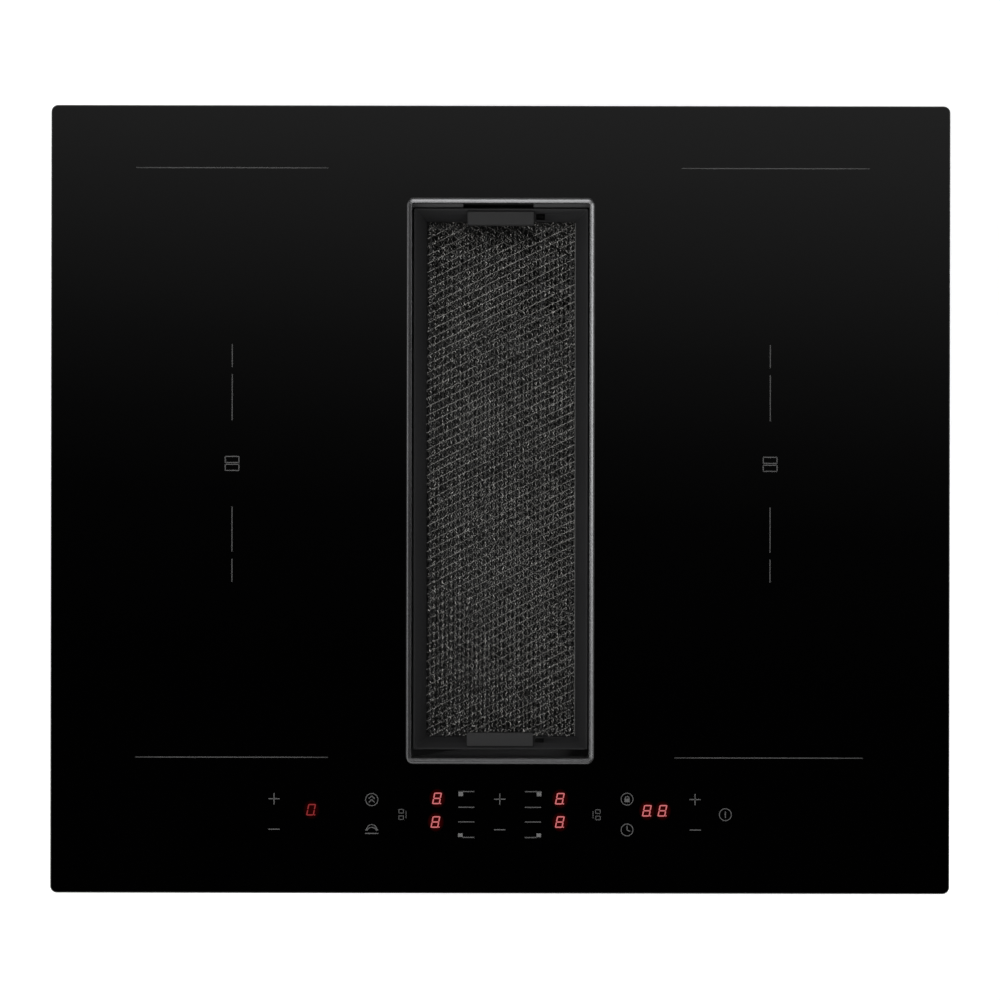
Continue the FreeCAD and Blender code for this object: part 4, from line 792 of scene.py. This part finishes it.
def worked(operation, *values):
    """Output of a Math node in the tree of the mesh layers."""
    return sums(mesh_tree, operation, *values)


def uneven(fineness):
    """Outputs of a noise in the tree of the mesh layers, which differs with the seed."""
    plugs = {"Vector": where, "W": given["Seed"], "Scale": fineness, "Detail": 0.0}
    return put(mesh_tree, "ShaderNodeTexNoise", plugs, noise_dimensions="4D").outputs


# Straight strands in rows
half_length = worked("MULTIPLY", given["Length"], 0.5)
half_breadth = worked("MULTIPLY", given["Breadth"], 0.5)
row_pitch = worked("MULTIPLY", given["Short Pitch"], 0.5)
row_count = worked("ADD", worked("DIVIDE", given["Breadth"], row_pitch), 1.0)
pace = worked("DIVIDE", given["Long Pitch"], given["Steps"])
begin = made("ShaderNodeCombineXYZ", {0: worked("MULTIPLY", half_length, -1.0)})
end = made("ShaderNodeCombineXYZ", {0: half_length})
strand = made("GeometryNodeCurvePrimitiveLine", {"Start": begin, "End": end})
strand = made("GeometryNodeResampleCurve", {"Curve": strand, "Length": pace}, mode="LENGTH")
first = made("ShaderNodeCombineXYZ", {1: worked("MULTIPLY", half_breadth, -1.0)})
row_step = made("ShaderNodeCombineXYZ", {1: row_pitch})
rows = made("GeometryNodeMeshLine", {"Count": row_count, "Start Location": first, "Offset": row_step})
sheet = made("GeometryNodeInstanceOnPoints", {"Points": rows, "Instance": strand})
sheet = made("GeometryNodeRealizeInstances", {0: sheet})

# Each point's own move: its strand's zigzag, which turns round from row to row, and its unevenness
where = made("GeometryNodeInputPosition")
parts = put(mesh_tree, "ShaderNodeSeparateXYZ", {0: where}).outputs
row = worked("ROUND", worked("DIVIDE", worked("ADD", parts[1], half_breadth), row_pitch))
parity = worked("SUBTRACT", 1.0, worked("MULTIPLY", worked("MODULO", row, 2.0), 2.0))
along = worked("ADD", worked("ADD", parts[0], half_length), worked("MULTIPLY", pace, 0.5))
phase = worked("FRACT", worked("DIVIDE", along, given["Long Pitch"]))
rising = worked("SUBTRACT", worked("MULTIPLY", worked("LESS_THAN", phase, given["Skew"]), 2.0), 1.0)
rising = worked("MULTIPLY", rising, parity)
rise = worked("DIVIDE", phase, given["Skew"])
fall = worked("DIVIDE", worked("SUBTRACT", 1.0, phase), worked("SUBTRACT", 1.0, given["Skew"]))
wave = worked("SUBTRACT", worked("MULTIPLY", worked("MINIMUM", rise, fall), 2.0), 1.0)
wave = worked("MINIMUM", worked("MULTIPLY", wave, given["Bond"]), 1.0)
wave = worked("MAXIMUM", wave, -1.0)
reach = worked("MULTIPLY", worked("MULTIPLY", row_pitch, 0.5), given["Swing"])
swing = worked("MULTIPLY", worked("MULTIPLY", wave, parity), reach)
sideways = worked("ADD", swing, given["Offset"])
upwards = worked("ADD", given["Level"], worked("MULTIPLY", wave, given["Lift"]))
move = made("ShaderNodeCombineXYZ", {0: given["Shift"], 1: sideways, 2: upwards})
noise_middle = (0.5, 0.5, 0.5)
for size, fineness in (("Unevenness", 400.0), ("Drift", 18.0)):
    wobble = uneven(fineness)["Color"]
    wobble = made("ShaderNodeVectorMath", {0: wobble, 1: noise_middle}, operation="SUBTRACT")
    wobble = made("ShaderNodeVectorMath", {0: wobble, "Scale": given[size]}, operation="SCALE")
    move = made("ShaderNodeVectorMath", {0: move, 1: wobble})
twist_fineness = 650.0
twist = worked("MULTIPLY", worked("SUBTRACT", uneven(twist_fineness)[0], 0.5), given["Twist"])
tilt = worked("ADD", given["Tilt"], worked("MULTIPLY", rising, given["Lean"]))
tilt = worked("ADD", tilt, twist)

# Flat section of the strands, and the layer's place in the cassette
sheet = made("GeometryNodeSetPosition", {"Geometry": sheet, "Offset": move})
sheet = made("GeometryNodeSetCurveNormal", {"Curve": sheet}, mode="Z_UP")
sheet = made("GeometryNodeSetCurveTilt", {"Curve": sheet, "Tilt": tilt})
section = made("GeometryNodeCurvePrimitiveQuadrilateral",
               {"Width": given["Strand Width"], "Height": given["Strand Thickness"]})
sheet = made("GeometryNodeCurveToMesh", {"Curve": sheet, "Profile Curve": section, "Fill Caps": True})
turn = made("ShaderNodeCombineXYZ", {2: given["Turn"]})
middle = Vector((*cassette_middle, 0.0)) * mm
sheet = made("GeometryNodeTransform", {"Geometry": sheet, "Rotation": turn, "Translation": middle})
sheet = made("GeometryNodeSetShadeSmooth", {"Geometry": sheet, "Shade Smooth": False})
sheet = made("GeometryNodeRealizeInstances", {0: sheet})
sheet = made("GeometryNodeSetMaterial", {"Geometry": sheet, "Material": given["Material"]})
put(mesh_tree, "NodeGroupOutput", {0: sheet})

# Four layers, from the top down; the lowest lies in the shade of the others, and its metal is a far darker
# copy of the mesh metal as painted shade
knitted = {"Length": pack_depth, "Breadth": pack_width, "Turn": math.pi / 2, "Long Pitch": 2.92 * mm,
           "Short Pitch": 5.64 * mm, "Steps": 4.0, "Strand Width": 0.42 * mm, "Swing": 0.4, "Skew": 0.72,
           "Tilt": 0.0, "Lean": 0.12, "Lift": -0.15 * mm, "Twist": 3.2, "Unevenness": 1.9 * mm,
           "Drift": 0.6 * mm}
layers = ({"Level": -15.4 * mm, "Tilt": 0.15, "Lean": -0.35, "Strand Width": 0.22 * mm, "Drift": 2.6 * mm},
          knitted | {"Level": -15.4 * mm, "Seed": 7.0},
          knitted | {"Level": -16.2 * mm, "Seed": 21.0, "Shift": 1.0 * mm, "Offset": 0.9 * mm,
                     "Strand Width": 0.3 * mm},
          knitted | {"Level": -17.8 * mm, "Seed": 13.0, "Shift": 1.46 * mm, "Offset": 1.41 * mm,
                     "Strand Width": 0.6 * mm, "Material": painted_shade_metal})
for number, changes in enumerate(layers, 1):
    layer = bpy.data.objects.new(f"filter_mesh_layer_{number}", bpy.data.meshes.new("layer"))
    bpy.context.scene.collection.objects.link(layer)
    modifier = layer.modifiers.new("Expanded metal", "NODES")
    modifier.node_group = mesh_tree
    for name, value in (expanded_sizes | {"Material": mesh_metal} | changes).items():
        modifier[sockets[name]] = value
    baked(layer)
    mounted(layer, "mesh_metal", "filter_cassette", *(["filter_mesh"] if number == 1 else []))


# Studio: a pale floor below the housing, a dim ceiling that darkens towards the cook, a bright surround low
# down at the back and right, and three soft lamps. The camera looks straight down on the glass.

scene = bpy.context.scene
scene.view_settings.view_transform = "Standard"

floor_half = 6.0
floor_level = cad_box[0].z - 0.5 * mm
floor_glow = 0.6
floor_shape = bmesh.new()
floor_shape.faces.new([floor_shape.verts.new((x * floor_half, y * floor_half, floor_level))
                       for x, y in ((-1, -1), (1, -1), (1, 1), (-1, 1))])
floor_paint = bpy.data.materials.new("floor_paint")
floor_paint.use_nodes = True
tree = floor_paint.node_tree
shader = tree.nodes["Principled BSDF"]
shader.inputs["Base Color"].default_value = (0.8, 0.8, 0.8, 1.0)
shader.inputs["Roughness"].default_value = 0.9
seen = put(tree, "ShaderNodeLightPath").outputs
direct = sums(tree, "MAXIMUM", seen["Is Camera Ray"], seen["Is Glossy Ray"])
direct = sums(tree, "MAXIMUM", direct, seen["Is Transmission Ray"])
strength = sums(tree, "MULTIPLY", direct, floor_glow)
glow = put(tree, "ShaderNodeEmission", {"Color": (1.0, 1.0, 1.0, 1.0), "Strength": strength})
both = put(tree, "ShaderNodeAddShader", {0: shader.outputs[0], 1: glow.outputs[0]})
tree.links.new(both.outputs[0], tree.nodes["Material Output"].inputs["Surface"])
floor = new_piece("floor", floor_shape, floor_paint)

backdrop = (0.95, 0.95, 0.95, 1.0)
ceiling_stops = ((0.125, 0.004), (0.344, 0.006), (0.5, 0.02), (0.581, 0.052), (0.664, 0.10), (0.745, 0.175),
                 (0.825, 0.26), (0.865, 0.31), (1.0, 0.45))
ceiling_shift = 0.005
ceiling_tilt = 0.07
ceiling_reach = 0.2
ceiling_edge = (0.968, 0.95)
middle_edge = (0.87, 0.8)
wall_edge = (0.45, 0.2)
bright_side = (0.86, 0.95)
high_level = 0.02
middle_level = 0.18
wall_level = 0.35
wall_boost = 0.5
just_over_one = 1.0001
world = bpy.data.worlds.new("studio")
scene.world = world
world.use_nodes = True
tree = world.node_tree
direction = put(tree, "ShaderNodeTexCoord").outputs["Generated"]
heading = put(tree, "ShaderNodeSeparateXYZ", {0: direction}).outputs
slope = sums(tree, "ADD", sums(tree, "ADD", heading[1], ceiling_shift),
             sums(tree, "MULTIPLY", heading[0], ceiling_tilt))
ceiling = put(tree, "ShaderNodeValToRGB", {0: spread(tree, slope, 0.0, 1.0, -ceiling_reach, ceiling_reach)})
ramp = ceiling.color_ramp.elements
ramp.remove(ramp[1])
ramp[0].position = ceiling_stops[0][0]
for position, _ in ceiling_stops[1:]:
    ramp.new(position)
for stop, (_, level) in zip(ramp, ceiling_stops):
    stop.color = (level, level, level, 1.0)
away = spread(tree, heading[2], 0.0, 1.0, *ceiling_edge)
height = sums(tree, "MULTIPLY", heading[2], heading[2])
reach = sums(tree, "SQRT", sums(tree, "SUBTRACT", just_over_one, height))
facing = sums(tree, "DIVIDE", sums(tree, "MAXIMUM", heading[0], heading[1]), reach)
side = spread(tree, facing, 0.0, 1.0, *bright_side)
rightwards = sums(tree, "DIVIDE", heading[0], reach)
right_boost = spread(tree, rightwards, low=3.9, high=6.6, start=0.5, end=0.9)
rear_boost = spread(tree, heading[1], low=0.28, high=1.32, start=-0.065, end=0.085)
boost = sums(tree, "MULTIPLY", right_boost, rear_boost)
high = sums(tree, "ADD", high_level, sums(tree, "MULTIPLY", side, boost))
wall = sums(tree, "ADD", wall_level, sums(tree, "MULTIPLY", side, wall_boost))
middle = spread(tree, heading[2], 0.0, 1.0, *middle_edge)
bottom = spread(tree, heading[2], 0.0, 1.0, *wall_edge)
upper = put(tree, "ShaderNodeMix", {0: middle, 2: high, 3: middle_level}).outputs[0]
upper = put(tree, "ShaderNodeMix", {0: bottom, 2: upper, 3: wall}).outputs[0]
surround = put(tree, "ShaderNodeCombineColor", {0: upper, 1: upper, 2: upper}).outputs[0]
plugs = {0: away, 6: ceiling.outputs[0], 7: surround}
overhead = put(tree, "ShaderNodeMix", plugs, data_type="RGBA").outputs[2]
plugs = {0: put(tree, "ShaderNodeLightPath").outputs["Is Camera Ray"], 6: overhead, 7: backdrop}
sky = put(tree, "ShaderNodeMix", plugs, data_type="RGBA").outputs[2]
tree.links.new(sky, tree.nodes["Background"].inputs["Color"])


def lamp(name, at, width, depth, power):
    """Soft rectangular lamp aimed at the middle of the glass."""
    data = bpy.data.lights.new(name, "AREA")
    data.shape = "RECTANGLE"
    data.size = width
    data.size_y = depth
    data.energy = power
    obj = bpy.data.objects.new(name, data)
    obj.location = at
    obj.rotation_euler = (-Vector(at)).to_track_quat("-Z", "Y").to_euler()
    scene.collection.objects.link(obj)


lamp("front_lamp", (-0.5, -1.6, 0.35), width=2.4, depth=1.0, power=11.0)
lamp("upper_lamp", (0.0, -0.9, 2.0), width=1.6, depth=0.3, power=2.4)
lamp("left_lamp", (-1.1, -0.1, 1.1), width=1.6, depth=0.8, power=6.5)

camera_height = 1.6
camera_turn = math.radians(0.1)
camera_data = bpy.data.cameras.new("camera")
camera_data.sensor_width = 36.0
camera_data.lens = 87.8
camera = bpy.data.objects.new("camera", camera_data)
camera.location = (-0.2 * mm, -0.3 * mm, glass_face + camera_height)
camera.rotation_euler = (0.0, 0.0, camera_turn)
scene.collection.objects.link(camera)
scene.camera = camera
